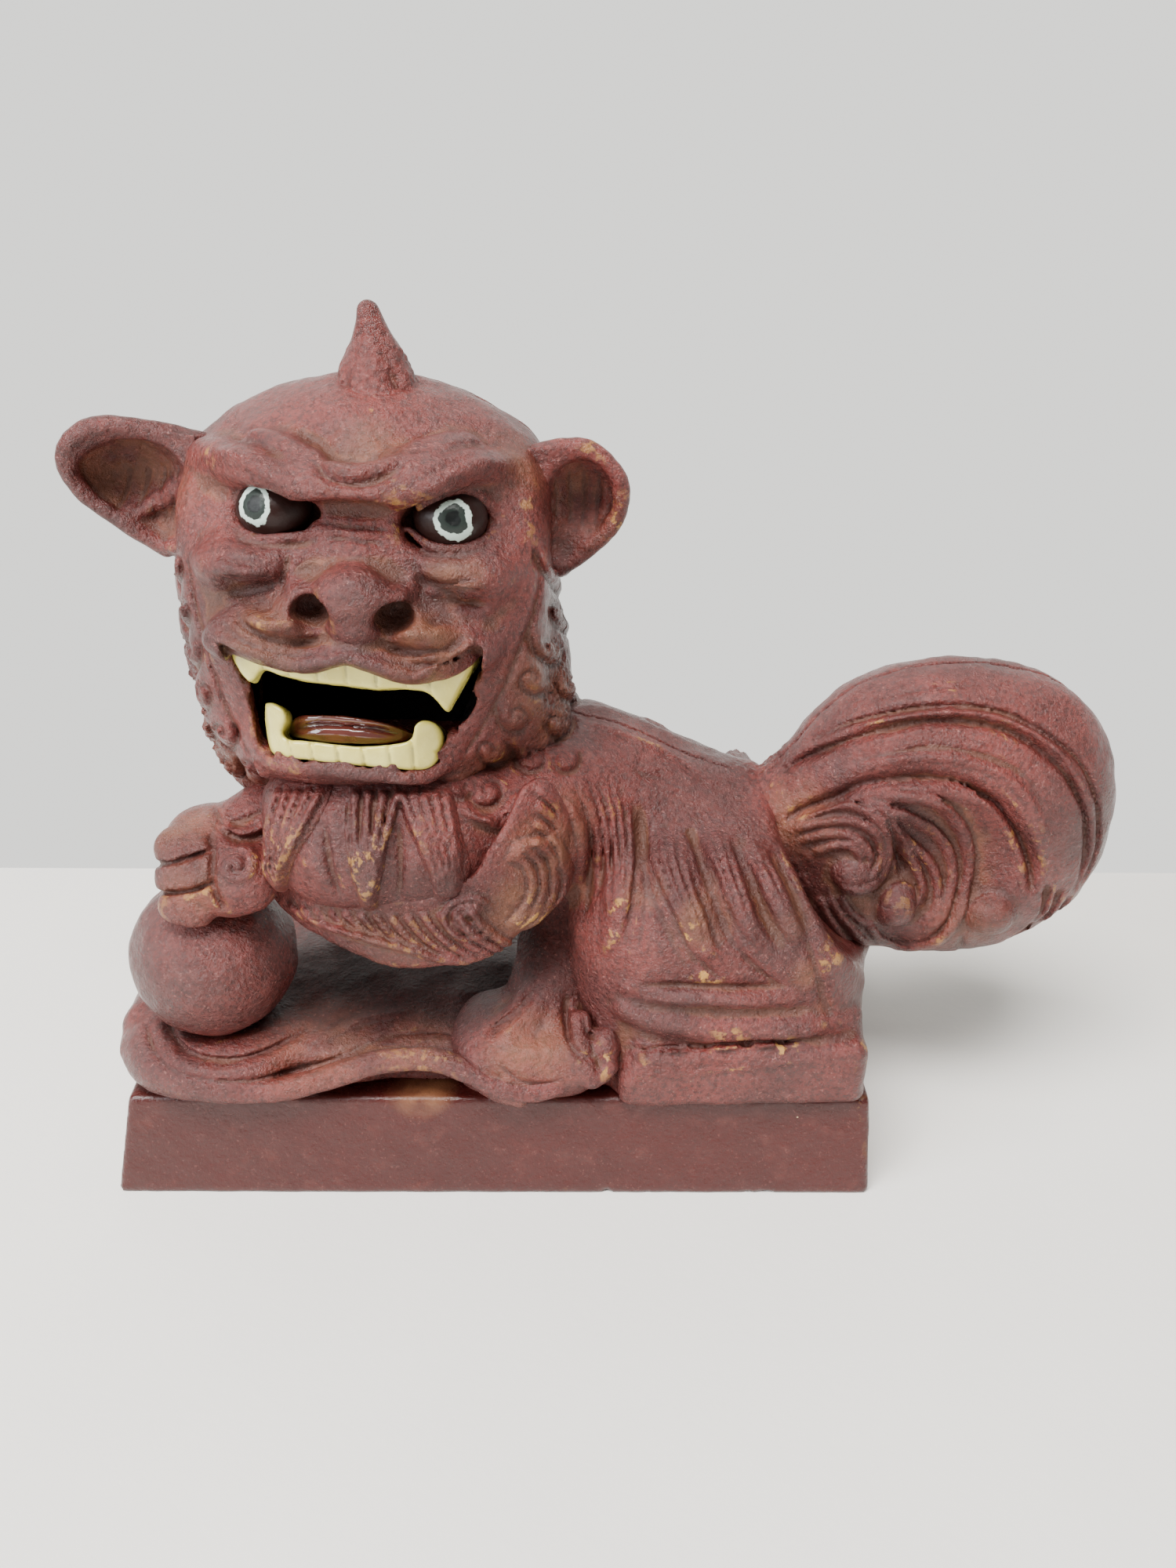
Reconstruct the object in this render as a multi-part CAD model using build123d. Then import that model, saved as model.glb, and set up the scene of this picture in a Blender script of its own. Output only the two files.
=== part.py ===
from build123d import *
import os

# Reclining foo dog (guardian lion) on a tapered plinth, millimetres.
# +X is to the right along the plinth's front, +Y is to the back, +Z is up.
# The origin is the middle of the plinth's underside.  The lion's body lies along X
# with the rump at +X, and its head is turned to face the front, -Y.
# The figure is hollow: front and rear castings meet on one upright seam plane
# that runs through the skull, the spine and the crest of the tail.

# ---------------------------------------------------------------- driving dimensions
PLINTH_LENGTH = 156.7        # bottom edge of the plinth's front
PLINTH_DEPTH = 76.0
PLINTH_HEIGHT = 22.0
PLINTH_DRAFT = 4.0           # how far each side leans in from bottom to top
PLINTH_WALL = 5.0
PLINTH_RIB = 6.0             # thickness of the rib across the middle of its hollow
TABLE = PLINTH_HEIGHT        # the figure stands on the plinth's top face

WALL = 3.4                   # casting thickness of the hollow figure
SEAM_Y = 0.0                 # the castings meet on this plane
FIT_GAP = 0.05               # radial clearance of screws and dowels in their holes

# rounded masses: centre, half sizes
SKULL = ((-21.5, -3.0, 128.0), (30.5, 34.0, 32.0))
MANE = ((-22.5, 6.0, 112.0), (37.0, 25.0, 39.0))
MUZZLE = ((-21.5, -26.0, 122.5), (24.0, 15.0, 10.5))
NOSE = ((-21.0, -36.0, 131.0), (12.0, 6.5, 6.0))
JAW = ((-23.0, -21.0, 96.0), (21.0, 17.0, 8.0))
CHEST = ((-11.0, -1.0, 77.0), (33.0, 33.0, 21.0))
HIP = ((40.0, 19.0, 57.0), (23.0, 15.0, 25.0))      # mirrored to the other side
PLUME = ((92.0, 0.0, 72.0), (36.0, 18.0, 33.0))
BALL_PAW = ((-54.0, -22.0, 69.0), (12.0, 12.0, 9.0))
PLANTED_PAW = ((7.0, -29.0, 32.0), (16.0, 11.0, 11.0))
TONGUE = ((-22.5, -20.0, 101.5), (11.5, 9.0, 4.0))

# limbs as round-ended bars: start, end, radius
BALL_ARM = ((-50, -16, 75), (-36, -6, 80), 7)
PLANTED_SHIN = ((13, -25, 38), (14, -22, 58), 8)
HIND_SHIN = ((30, 29, 46), (66, 28, 45), 5.5)       # mirrored to the other side
TAIL_ROOT = ((64, 0, 70), (84, 0, 72), 12)
HIND_FOOT = ((26, 24, 22), (75, 37, 36))            # opposite corners of its block
FOOT_ROUNDING = 3.5

# trunk as ellipses across X: place, middle height, half width, half height
TRUNK = [(4, 76, 30, 21), (14, 69, 30, 26), (26, 59, 30, 31), (42, 53, 31, 32), (58, 50, 29, 29),
         (70, 46, 26, 25), (76.5, 43, 23, 22)]

BALL_CENTRE = (-57.0, -20.0, 48.0)
BALL_R = 16.7

APRON_LEFT = -75.0
APRON_RIGHT = 27.0
APRON_TOP = 31.3
APRON_REACH = 37.5           # half width, front to back
APRON_CORE = ((-66, -28, 22), (27, 27, 31.3))       # opposite corners of its solid middle
APRON_WAVE = [(27, 7.5), (17, 6.5), (6, 2.2), (-7, 6.5), (-17, 8.2), (-30, 4.4), (-47, 2.4),
              (-60, 2.8), (-70, 3.4), (-75, 6)]     # lower edge: place in X, rise above the table
APRON_PLAN = [(27, -30), (6, -37.5), (-16, -33.5), (-46, -37.5), (-68, -34), (-75, -20), (-72, 0),
              (-74, 20), (-62, 33), (-30, 32), (0, 33), (27, 30)]

MOUTH_LOW = (-42.0, -60.0, 98.5)
MOUTH_HIGH = (-1.5, -14.0, 117.0)
MOUTH_WALL = 3.4             # walls of the closed pocket behind the teeth
JAW_AXIS = (-22.5, -14.0)    # upright axis that both rows of teeth curve about
UPPER_ARCH = (19.0, 23.0)    # half width and reach to the front
LOWER_ARCH = (17.0, 21.0)
TOOTH_DEPTH = 3.0
FANG_TIP_R = 0.7
UPPER_ROW = 4.0              # height of the band above the fangs
LOWER_ROW = 4.0
UPPER_FANGS = ((-38.5, -6.5), 108.0)    # places in X, height of the tips
LOWER_FANGS = ((-34.0, -11.0), 107.5)

EYE_R = 5.6
EYES = {"left": (-35.5, -25.5, 143.0), "right": (-5.0, -25.5, 141.0)}
PUPIL_R = 2.6
PUPIL_DEPTH = 1.6

HORN_ROOT = (-19.0, -6.0, 158.0)
HORN_FLANK = [(7.6, 0), (5.4, 4.5), (3.2, 10), (0.9, 14.6)]     # radius and height up its curved side
HORN_SINK = 5.0              # how far its core goes down to meet the skull

EAR_BACK = 3.0
EAR_THICKNESS = 13.0
EAR_CUP = (9.0, 8.0, 7.5)
EARS = {
    "left": [(-47, 146), (-58, 150), (-68, 150.5), (-76, 145), (-71, 136), (-62, 128.5), (-50, 131)],
    "right": [(5, 145), (12, 147.5), (20, 146.5), (25.5, 140), (22, 132), (14, 124.5), (6, 129)],
}
EAR_CUP_CENTRES = {"left": (-63, -11, 141), "right": (14, -11, 138.5)}
EAR_PINS = {"left": ((-45, 0, 139), (-58, 0, 140)), "right": ((2, 0, 138), (14, 0, 138))}

BIB_THICKNESS = 3.6
BIB_BAND = ((-46, -60, 58), (19, -8, 69))           # opposite corners of the band it is cut from
BEARD_ROOT = (-31.0, 92.0)   # depth and height of the roots under the chin
BEARD = [(-33, -38, 72), (-23, -22, 71), (-12, -5, 72)]     # root x, tip x, tip z
BEARD_R = 6.0
BEARD_TIP_R = 2.0
BEARD_LEAN = 3.0             # how far the tips stand out in front of the roots

NECK_AXIS = (-14.0, 2.0)
NECK_SPAN = (64.0, 94.0)
NECK_R = 13.0
NECK_WALL = 2.5

SCREW_R = 2.0                # M4 tie screws through the castings
SCREW_HEAD_R = 3.6
SCREW_HEAD_H = 2.4
SLOT_WIDTH = 1.0
SLOT_DEPTH = 1.0
TIP_CLEARANCE = 0.5          # blind holes run this much past the screw tips
POCKET_GAP = 0.3
BOSS_R = 4.8
WEB = 4.0                    # thickness of the rib between a foot boss and the wall
DOWEL_R = 1.5
PLINTH_SCREWS = [(-50, -10), (-50, 14), (57, -20), (57, 20)]
PLINTH_SCREW_TIP = TABLE + 8.0
FOOT_BOSS_TOP = PLINTH_SCREW_TIP + 3.0

# Tie screws run along Y out of the rear casting into a boss of the front casting:
# place in X, place in Z, tip of the screw, seat of its head.
BODY_TIES = [(38.0, 68.0, -14.0, 19.0), (62.0, 40.0, -14.0, 15.0)]
HEAD_TIE = (-22.0, 139.0, -20.0, 18.0)
TAIL_TIE = (100.0, 74.0, -9.0, 10.0)

STUD_R = 2.5                 # threaded stud along X that holds the tail on the rump
STUD_Z = 58.0
STUD_SPAN = (56.0, 84.0)
NUT_R = 4.4
NUT_H = 3.2
NUT_PLACES = (59.0, 79.8)    # near faces of the two nuts

BALL_DOWEL = (-6.0, 9.0)     # below and above the ball's foot
HORN_DOWEL = (-7.0, 6.0)     # below and above the horn's root

SPACE_LOW = (-120, -80, 0)   # corners of a box that holds everything
SPACE_HIGH = (160, 80, 200)


# ---------------------------------------------------------------- helpers
def mass(place, extra=0.0, mirror_y=False):
    """Solid ellipsoid from a centre and half sizes, grown by extra all round."""
    (x, y, z), half = place
    size = tuple(h + extra for h in half)
    return Pos(x, -y if mirror_y else y, z) * scale(Sphere(1), by=size)


def block(low, high):
    """Box between two opposite corners."""
    size = [b - a for a, b in zip(low, high)]
    middle = [(a + b) / 2 for a, b in zip(low, high)]
    return Pos(*middle) * Box(*size)


def rod(start, end, radius):
    """Round bar from one point to another."""
    axis = Vector(*end) - Vector(*start)
    bar = Cylinder(radius, axis.length, align=(Align.CENTER, Align.CENTER, Align.MIN))
    return Plane(origin=start, z_dir=axis) * bar


def capsule(start, end, radius):
    """Round bar with domed ends."""
    return rod(start, end, radius) + Pos(*start) * Sphere(radius) + Pos(*end) * Sphere(radius)


def front_half(shape):
    """What lies in front of the seam plane."""
    return shape & block(SPACE_LOW, (SPACE_HIGH[0], SEAM_Y, SPACE_HIGH[2]))


def rear_half(shape):
    """What lies behind the seam plane."""
    return shape & block((SPACE_LOW[0], SEAM_Y, SPACE_LOW[2]), SPACE_HIGH)


def above_table(shape):
    """What lies above the plinth's top face."""
    return shape & block((*SPACE_LOW[:2], TABLE), SPACE_HIGH)


def largest(shape):
    """Biggest solid of a shape, without the crumbs a cut may leave."""
    return shape.solids().sort_by(SortBy.VOLUME)[-1]


def write(name, *solids):
    """Write one node's STEP file, as one solid or as a group of separate ones."""
    shape = solids[0] if len(solids) == 1 else Compound(children=list(solids))
    shape.label = name
    export_step(shape, f"parts/{name}.step")


# ---------------------------------------------------------------- fixings
def screw(tip, seat):
    """Pan head screw from its tip to the face that its head sits on."""
    axis = (Vector(*seat) - Vector(*tip)).normalized()
    top = Vector(*seat) + axis * SCREW_HEAD_H
    body = rod(tip, seat, SCREW_R) + rod(seat, tuple(top), SCREW_HEAD_R)
    slot = Box(3 * SCREW_HEAD_R, SLOT_WIDTH, 2 * SLOT_DEPTH)
    groove = Plane(origin=top, x_dir=(1, 0, 0), z_dir=axis) * slot
    return body - groove


def tie_screw(tie):
    """Screw along Y that pulls the two castings together."""
    x, z, tip, seat = tie
    return screw((x, tip, z), (x, seat, z))


def tie_pillar(tie):
    """Pillar across the hollow, half on each casting, that the tie screw passes through."""
    x, z, _, _ = tie
    return rod((x, SPACE_LOW[1], z), (x, SPACE_HIGH[1], z), BOSS_R)


def tie_hole(tie):
    """Screw hole, with the pocket that sinks its head below the rear surface."""
    x, z, tip, seat = tie
    hole = rod((x, tip - TIP_CLEARANCE, z), (x, seat, z), SCREW_R + FIT_GAP)
    return hole + rod((x, seat, z), (x, SPACE_HIGH[1], z), SCREW_HEAD_R + POCKET_GAP)


def tail_stud(extra=0.0):
    """Stud along X through the rump's end wall and the root of the tail."""
    low, high = STUD_SPAN
    return rod((low, 0, STUD_Z), (high, 0, STUD_Z), STUD_R + extra)


def tail_nut(x):
    """Hexagon nut on the tail stud, its near face at x."""
    with BuildPart() as nut:
        with BuildSketch(Plane.YZ.offset(x)):
            with Locations((0, STUD_Z)):
                RegularPolygon(NUT_R, 6)
                Circle(STUD_R + FIT_GAP, mode=Mode.SUBTRACT)
        extrude(amount=NUT_H)
    return nut.part


def ball_dowel(extra=0.0):
    """Upright pin between the apron and the ball."""
    x, y, z = BALL_CENTRE
    foot = z - BALL_R
    below, above = BALL_DOWEL
    return rod((x, y, foot + below - extra), (x, y, foot + above + extra), DOWEL_R + extra)


def horn_dowel(extra=0.0):
    """Pin between the skull and the horn."""
    x, y, z = HORN_ROOT
    below, above = HORN_DOWEL
    return rod((x, y, z + below - extra), (x, y, z + above + extra), DOWEL_R + extra)


def ear_dowel(side, extra=0.0):
    """Pin between the skull and one ear."""
    return rod(*EAR_PINS[side], DOWEL_R + extra)


# ---------------------------------------------------------------- plinth
def frustum(inset, top):
    """Tapered block with the plinth's draft, inset from its sides, from z = 0 to top."""
    lean = 2 * PLINTH_DRAFT * top / PLINTH_HEIGHT
    low = Rectangle(PLINTH_LENGTH - 2 * inset, PLINTH_DEPTH - 2 * inset)
    high = Rectangle(PLINTH_LENGTH - 2 * inset - lean, PLINTH_DEPTH - 2 * inset - lean)
    return loft([low.face(), (Pos(0, 0, top) * high).face()], ruled=True)


def make_plinth():
    """Tapered casting, open underneath, with a wall all round, a top plate and one rib."""
    rib = block((-PLINTH_RIB / 2, -PLINTH_DEPTH, 0), (PLINTH_RIB / 2, PLINTH_DEPTH, PLINTH_HEIGHT))
    body = frustum(0, PLINTH_HEIGHT) - (frustum(PLINTH_WALL, PLINTH_HEIGHT - PLINTH_WALL) - rib)
    for x, y in PLINTH_SCREWS:
        body -= rod((x, y, 0), (x, y, 2 * PLINTH_HEIGHT), SCREW_R + FIT_GAP)
    return body


def plinth_screw(x, y):
    """Screw driven up through the plinth's top plate into the figure."""
    return screw((x, y, PLINTH_SCREW_TIP), (x, y, PLINTH_HEIGHT - PLINTH_WALL))


def drill_foot(shape):
    """Blind holes in the figure's underside for the plinth screws."""
    for x, y in PLINTH_SCREWS:
        shape -= rod((x, y, 0), (x, y, PLINTH_SCREW_TIP + TIP_CLEARANCE), SCREW_R + FIT_GAP)
    return shape


# ---------------------------------------------------------------- rock apron and ball
def make_ball():
    """Solid ball under the raised paw."""
    return Pos(*BALL_CENTRE) * Sphere(BALL_R) - ball_dowel(FIT_GAP)


def make_apron():
    """Slab with a wavy lower edge that laps over the plinth's front top edge."""
    with BuildSketch(Plane.XZ) as profile:
        with BuildLine():
            lower = Spline(*[(x, TABLE + rise) for x, rise in APRON_WAVE])
            Polyline(lower @ 1, (APRON_LEFT, APRON_TOP + 1), (-34, APRON_TOP), (-14, APRON_TOP + 4),
                     (APRON_RIGHT, APRON_TOP + 2), lower @ 0)
        make_face()
    wavy = extrude(profile.sketch, amount=APRON_REACH, both=True)
    with BuildSketch() as plan:
        with BuildLine():
            rim = Spline(*APRON_PLAN)
            Line(rim @ 1, rim @ 0)
        make_face()
    lip = wavy & extrude(plan.sketch, amount=2 * APRON_TOP)
    return lip + block(*APRON_CORE) - Pos(*BALL_CENTRE) * Sphere(BALL_R)


# ---------------------------------------------------------------- body
def trunk(inset=0.0):
    """Lofted trunk, or the hollow inside it when inset by the wall thickness."""
    last = TRUNK[-1][0]
    faces = []
    for x, middle, half_width, half_height in TRUNK:
        place = x - inset if x == last else x
        plane = Plane(origin=(place, 0, middle), x_dir=(0, 1, 0), z_dir=(1, 0, 0))
        faces.append((plane * Ellipse(half_width - inset, half_height - inset)).face())
    return loft(faces)


def hind_leg():
    """Long foot and shin that lie along the plinth, on the rear side."""
    foot = block(*HIND_FOOT)
    return fillet(foot.edges().filter_by(Axis.X), FOOT_ROUNDING) + capsule(*HIND_SHIN)


def body_outer():
    """Outside of the trunk, the hips and the hind legs, cut flat where it stands."""
    side = mass(HIP) + hind_leg()
    return above_table(trunk() + side + mirror(side, Plane.XZ))


def make_body(outer, head, apron):
    """Hollow trunk and chest, open underneath, before it is split at the seam."""
    hollow = trunk(WALL) + mass(HIP, -WALL) + mass(HIP, -WALL, mirror_y=True) + mass(CHEST, -WALL)
    hollow &= block((*SPACE_LOW[:2], 0), SPACE_HIGH)
    for tie in BODY_TIES:
        hollow -= tie_pillar(tie)
    for x, y in PLINTH_SCREWS[2:]:
        hollow -= rod((x, y, 0), (x, y, FOOT_BOSS_TOP), BOSS_R)
        near, far = sorted((y, 2 * y))
        hollow -= block((x - WEB / 2, near, 0), (x + WEB / 2, far, PLINTH_SCREW_TIP))
    shell = outer + mass(CHEST) - head - apron - hollow - neck_hole()
    for tie in BODY_TIES:
        shell -= tie_hole(tie)
    return drill_foot(shell - tail_stud(FIT_GAP))


# ---------------------------------------------------------------- head
def neck_hole():
    """Round way from the head down into the chest."""
    x, y = NECK_AXIS
    return rod((x, y, NECK_SPAN[0]), (x, y, NECK_SPAN[1]), NECK_R + FIT_GAP)


def make_neck_sleeve():
    """Short tube that lines up head and chest inside."""
    x, y = NECK_AXIS
    low, high = NECK_SPAN
    return rod((x, y, low), (x, y, high), NECK_R) - rod((x, y, low), (x, y, high), NECK_R - NECK_WALL)


def mouth():
    """Room for the teeth and the tongue, open to the front."""
    return block(MOUTH_LOW, MOUTH_HIGH)


def mouth_casing():
    """The mouth's room with its walls, which keep it closed off from the hollow skull."""
    low = [v - MOUTH_WALL for v in MOUTH_LOW]
    high = [v + MOUTH_WALL for v in MOUTH_HIGH]
    return block(low, high)


def head_outer():
    """Skull, mane, muzzle and jaw without the openings."""
    return mass(SKULL) + mass(MANE) + mass(MUZZLE) + mass(JAW)


def make_head(outer):
    """Hollow head with an open mouth, eye sockets and a nose, before it is split."""
    hollow = mass(SKULL, -WALL) + mass(MANE, -WALL) - tie_pillar(HEAD_TIE) - mouth_casing()
    shell = outer + mass(NOSE) - hollow - mouth()
    for centre in EYES.values():
        shell -= Pos(*centre) * Sphere(EYE_R + FIT_GAP)
    for side in EAR_PINS:
        shell -= ear_dowel(side, FIT_GAP)
    return shell - tie_hole(HEAD_TIE) - neck_hole() - horn_dowel(FIT_GAP)


def make_eye(centre):
    """Eyeball with a drilled pupil that looks to the front."""
    x, y, z = centre
    ball = Pos(*centre) * Sphere(EYE_R)
    return ball - rod((x, y - EYE_R + PUPIL_DEPTH, z), (x, y - 2 * EYE_R, z), PUPIL_R)


def make_horn(head):
    """Cone with hollow flanks on top of the skull."""
    with BuildSketch(Plane.XZ) as profile:
        with BuildLine():
            flank = Spline(*HORN_FLANK)
            radius, height = HORN_FLANK[0][0], HORN_FLANK[-1][1]
            Polyline(flank @ 1, (0, height), (0, -HORN_SINK), (radius, -HORN_SINK), flank @ 0)
        make_face()
    cone = Pos(*HORN_ROOT) * revolve(profile.sketch, Axis.Z)
    return largest(cone - head - horn_dowel(FIT_GAP))


def make_ear(side, head):
    """Cupped ear: a thick leaf hollowed from the front."""
    with BuildSketch(Plane.XZ) as leaf:
        with BuildLine():
            Spline(*EARS[side], periodic=True)
        make_face()
    ear = Pos(0, EAR_BACK, 0) * extrude(leaf.sketch, amount=EAR_THICKNESS)
    return largest(ear - mass((EAR_CUP_CENTRES[side], EAR_CUP)) - head - ear_dowel(side, FIT_GAP))


# ---------------------------------------------------------------- mouth
def arch(half_width, reach, low, high):
    """Solid oval column about the jaw's axis."""
    x, y = JAW_AXIS
    return Pos(x, y, low) * extrude(Ellipse(half_width, reach), amount=high - low)


def tooth_row(low, high, size, fang_places, fang_tip):
    """Curved strip of teeth with a fang near each end, pointing at fang_tip."""
    half_width, reach = size
    x, y = JAW_AXIS
    inner = arch(half_width - TOOTH_DEPTH, reach - TOOTH_DEPTH, low, high)
    row = arch(half_width, reach, low, high) - inner
    row &= block((x - 40, y - 40, low), (x + 40, y - 4, high))
    root = low + 1
    up = 1 if fang_tip > root else -1
    length = abs(fang_tip - root)
    fang = Cone(TOOTH_DEPTH / 2, FANG_TIP_R, length, align=(Align.CENTER, Align.CENTER, Align.MIN))
    middle_width, middle_reach = half_width - TOOTH_DEPTH / 2, reach - TOOTH_DEPTH / 2
    for place in fang_places:
        depth = y - middle_reach * (1 - ((place - x) / middle_width) ** 2) ** 0.5
        row += Plane(origin=(place, depth, root), z_dir=(0, 0, up)) * fang
    return row


def make_tongue():
    """Thick tongue lying inside the lower teeth."""
    return mass(TONGUE) & mouth()


# ---------------------------------------------------------------- bib and beard
def make_bib(body, head):
    """Raised crescent of mane across the lower chest."""
    return largest((mass(CHEST, BIB_THICKNESS) - mass(CHEST) & block(*BIB_BAND)) - head - body)


def make_tuft(root_x, tip_x, tip_z, head):
    """One tapering tuft of the beard, hanging over the chest."""
    depth, height = BEARD_ROOT
    root = Vector(root_x, depth, height)
    reach = Vector(tip_x, depth - BEARD_LEAN, tip_z) - root
    cone = Cone(BEARD_R, BEARD_TIP_R, reach.length, align=(Align.CENTER, Align.CENTER, Align.MIN))
    return largest(Plane(origin=root, z_dir=reach) * cone - mass(CHEST) - head)


# ---------------------------------------------------------------- forelegs
def make_ball_leg(head):
    """Foreleg that reaches out from the chest with its paw on the ball."""
    leg = mass(BALL_PAW) + capsule(*BALL_ARM)
    return largest(leg - Pos(*BALL_CENTRE) * Sphere(BALL_R) - mass(CHEST) - head)


def make_planted_leg(apron, body, head):
    """Foreleg that comes down in front of the hip onto the apron."""
    leg = mass(PLANTED_PAW) + capsule(*PLANTED_SHIN)
    return largest(above_table(leg - apron - body - mass(CHEST, BIB_THICKNESS) - head))


# ---------------------------------------------------------------- tail
def make_tail(body):
    """Hollow round plume, before it is split at the seam."""
    outer = mass(PLUME) + capsule(*TAIL_ROOT)
    hollow = mass(PLUME, -WALL) - tie_pillar(TAIL_TIE)
    return outer - hollow - body - tie_hole(TAIL_TIE) - tail_stud(FIT_GAP)


# ---------------------------------------------------------------- model
os.makedirs("parts", exist_ok=True)

head_mass = head_outer()
body_mass = body_outer()
apron_mass = make_apron()

write("plinth", make_plinth())
write("plinth_screws", *[plinth_screw(x, y) for x, y in PLINTH_SCREWS])
write("rock_apron", drill_foot(apron_mass - ball_dowel(FIT_GAP)))
write("ball", make_ball())
write("ball_dowel", ball_dowel())

body = make_body(body_mass, head_mass, apron_mass)
write("body_front_shell", largest(front_half(body)))
write("body_rear_shell", largest(rear_half(body)))
write("body_tie_screws", *[tie_screw(tie) for tie in BODY_TIES])
write("neck_sleeve", make_neck_sleeve())

head = make_head(head_mass)
write("head_front_shell", largest(front_half(head)))
write("head_rear_shell", largest(rear_half(head)))
write("head_tie_screw", tie_screw(HEAD_TIE))
write("horn", make_horn(head_mass))
write("horn_dowel", horn_dowel())
for side in EARS:
    write(f"{side}_ear", make_ear(side, head_mass))
    write(f"{side}_eyeball", make_eye(EYES[side]))
write("ear_dowels", *[ear_dowel(side) for side in EAR_PINS])

write("upper_teeth", tooth_row(MOUTH_HIGH[2] - UPPER_ROW, MOUTH_HIGH[2], UPPER_ARCH, *UPPER_FANGS))
write("lower_teeth", tooth_row(MOUTH_LOW[2], MOUTH_LOW[2] + LOWER_ROW, LOWER_ARCH, *LOWER_FANGS))
write("tongue", make_tongue())
write("beard_tufts", *[make_tuft(*tuft, head_mass) for tuft in BEARD])

write("mane_bib", make_bib(body_mass, head_mass))
write("ball_leg", make_ball_leg(head_mass))
write("planted_leg", make_planted_leg(apron_mass, body_mass, head_mass))

tail = make_tail(body_mass + mass(CHEST))
write("tail_front_half", largest(front_half(tail)))
write("tail_rear_half", largest(rear_half(tail)))
write("tail_tie_screw", tie_screw(TAIL_TIE))
write("tail_stud", tail_stud())
write("tail_nuts", *[tail_nut(x) for x in NUT_PLACES])
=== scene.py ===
import math

import bpy
import numpy as np
import openvdb
from mathutils import Matrix, Vector


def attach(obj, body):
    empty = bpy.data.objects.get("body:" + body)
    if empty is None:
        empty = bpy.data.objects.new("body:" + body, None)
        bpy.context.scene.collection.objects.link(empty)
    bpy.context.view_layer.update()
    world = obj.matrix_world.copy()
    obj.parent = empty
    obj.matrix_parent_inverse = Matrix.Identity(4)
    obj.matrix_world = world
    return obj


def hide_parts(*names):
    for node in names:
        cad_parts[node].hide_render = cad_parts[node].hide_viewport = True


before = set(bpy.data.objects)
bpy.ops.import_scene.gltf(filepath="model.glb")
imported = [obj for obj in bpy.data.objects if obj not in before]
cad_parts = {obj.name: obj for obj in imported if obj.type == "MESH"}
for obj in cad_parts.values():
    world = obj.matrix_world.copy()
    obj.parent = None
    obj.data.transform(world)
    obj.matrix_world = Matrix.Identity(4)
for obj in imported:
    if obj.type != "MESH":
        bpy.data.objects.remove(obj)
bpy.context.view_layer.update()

# The figure is modelled in clay: a signed distance, in millimetres, on a regular grid,
# negative inside.  Masses are blended in, drawn lines are pressed into the surface as relief,
# and each piece is then meshed and painted.  Places are in the CAD frame: +X towards the
# tail, +Y to the back, +Z up.

MM = 0.001
FAR = 9.0                    # distance, in mm, of clay that nothing has touched
MARGIN = 2.5                 # mm round a shape in which the clay is reworked
SEAM_GAP = 0.12              # half the gap left between the front and rear castings

PLINTH_TOP = 22.0            # height, in mm, of the plinth's top face
BALL, BALL_RADIUS = (-57, -20, 48), 16.6

# Drawing plane for what faces the viewer: "across" is X, "up" leans back 27 degrees, so a
# line is drawn as it looks from a little above the front.
TILT = math.radians(27)
RISE = math.sin(TILT)
FALL = math.cos(TILT)
INTO = np.array([0.0, FALL, -RISE])


def at(across, up, depth):
    """Point given across and up the drawing plane, and by its place along Y."""
    return (across, depth, (up - RISE * depth) / FALL)


# ---------------------------------------------------------------- shapes
def smooth_least(a, b, k):
    """The lesser of two distances, rounded over a width k."""
    if k <= 0:
        return np.minimum(a, b)
    h = np.clip(0.5 + 0.5 * (b - a) / k, 0.0, 1.0)
    return b + (a - b) * h - k * h * (1.0 - h)


class Shape:
    """A distance function of open-grid coordinates, and the box it matters in."""

    def __init__(self, low, high, distance):
        self.low = np.array(low, float)
        self.high = np.array(high, float)
        self.distance = distance


def turned(yaw=0.0, pitch=0.0, roll=0.0):
    """Rotation matrix from degrees about Z, X and Y."""
    turn = Matrix.Rotation(math.radians(yaw), 3, "Z") @ Matrix.Rotation(math.radians(pitch), 3, "X")
    return np.array(turn @ Matrix.Rotation(math.radians(roll), 3, "Y"))


def offsets(centre, turn):
    """Function that gives how far points lie from a centre along each axis of a rotation."""
    def along(x, y, z):
        p = (x - centre[0], y - centre[1], z - centre[2])
        return [np.abs(p[0] * turn[0, i] + p[1] * turn[1, i] + p[2] * turn[2, i])
                for i in range(3)]

    return along


def egg(centre, half, yaw=0.0, pitch=0.0, roll=0.0, power=2.0):
    """Ellipsoid; a power over 2 makes it boxier."""
    centre, half = np.array(centre, float), np.array(half, float)
    turn = turned(yaw, pitch, roll)
    reach = np.abs(turn) @ half
    along = offsets(centre, turn)

    def distance(x, y, z):
        q = [c / h for c, h in zip(along(x, y, z), half)]
        near = np.maximum(sum(c ** power for c in q), 1e-9) ** (1.0 / power)
        slope = np.sqrt(sum((c ** (power - 1) / h) ** 2 for c, h in zip(q, half)))
        return (near - 1.0) * near ** (power - 1) / np.maximum(slope, 1e-6)

    return Shape(centre - reach, centre + reach, distance)


def slab(centre, half, corner=1.0, yaw=0.0, pitch=0.0, roll=0.0):
    """Box with rounded edges."""
    centre, half = np.array(centre, float), np.array(half, float)
    turn = turned(yaw, pitch, roll)
    reach = np.abs(turn) @ half
    along = offsets(centre, turn)

    def distance(x, y, z):
        q = [c - h + corner for c, h in zip(along(x, y, z), half)]
        outside = np.sqrt(sum(np.maximum(c, 0.0) ** 2 for c in q))
        return outside + np.minimum(np.maximum(np.maximum(q[0], q[1]), q[2]), 0.0) - corner

    return Shape(centre - reach, centre + reach, distance)


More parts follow.
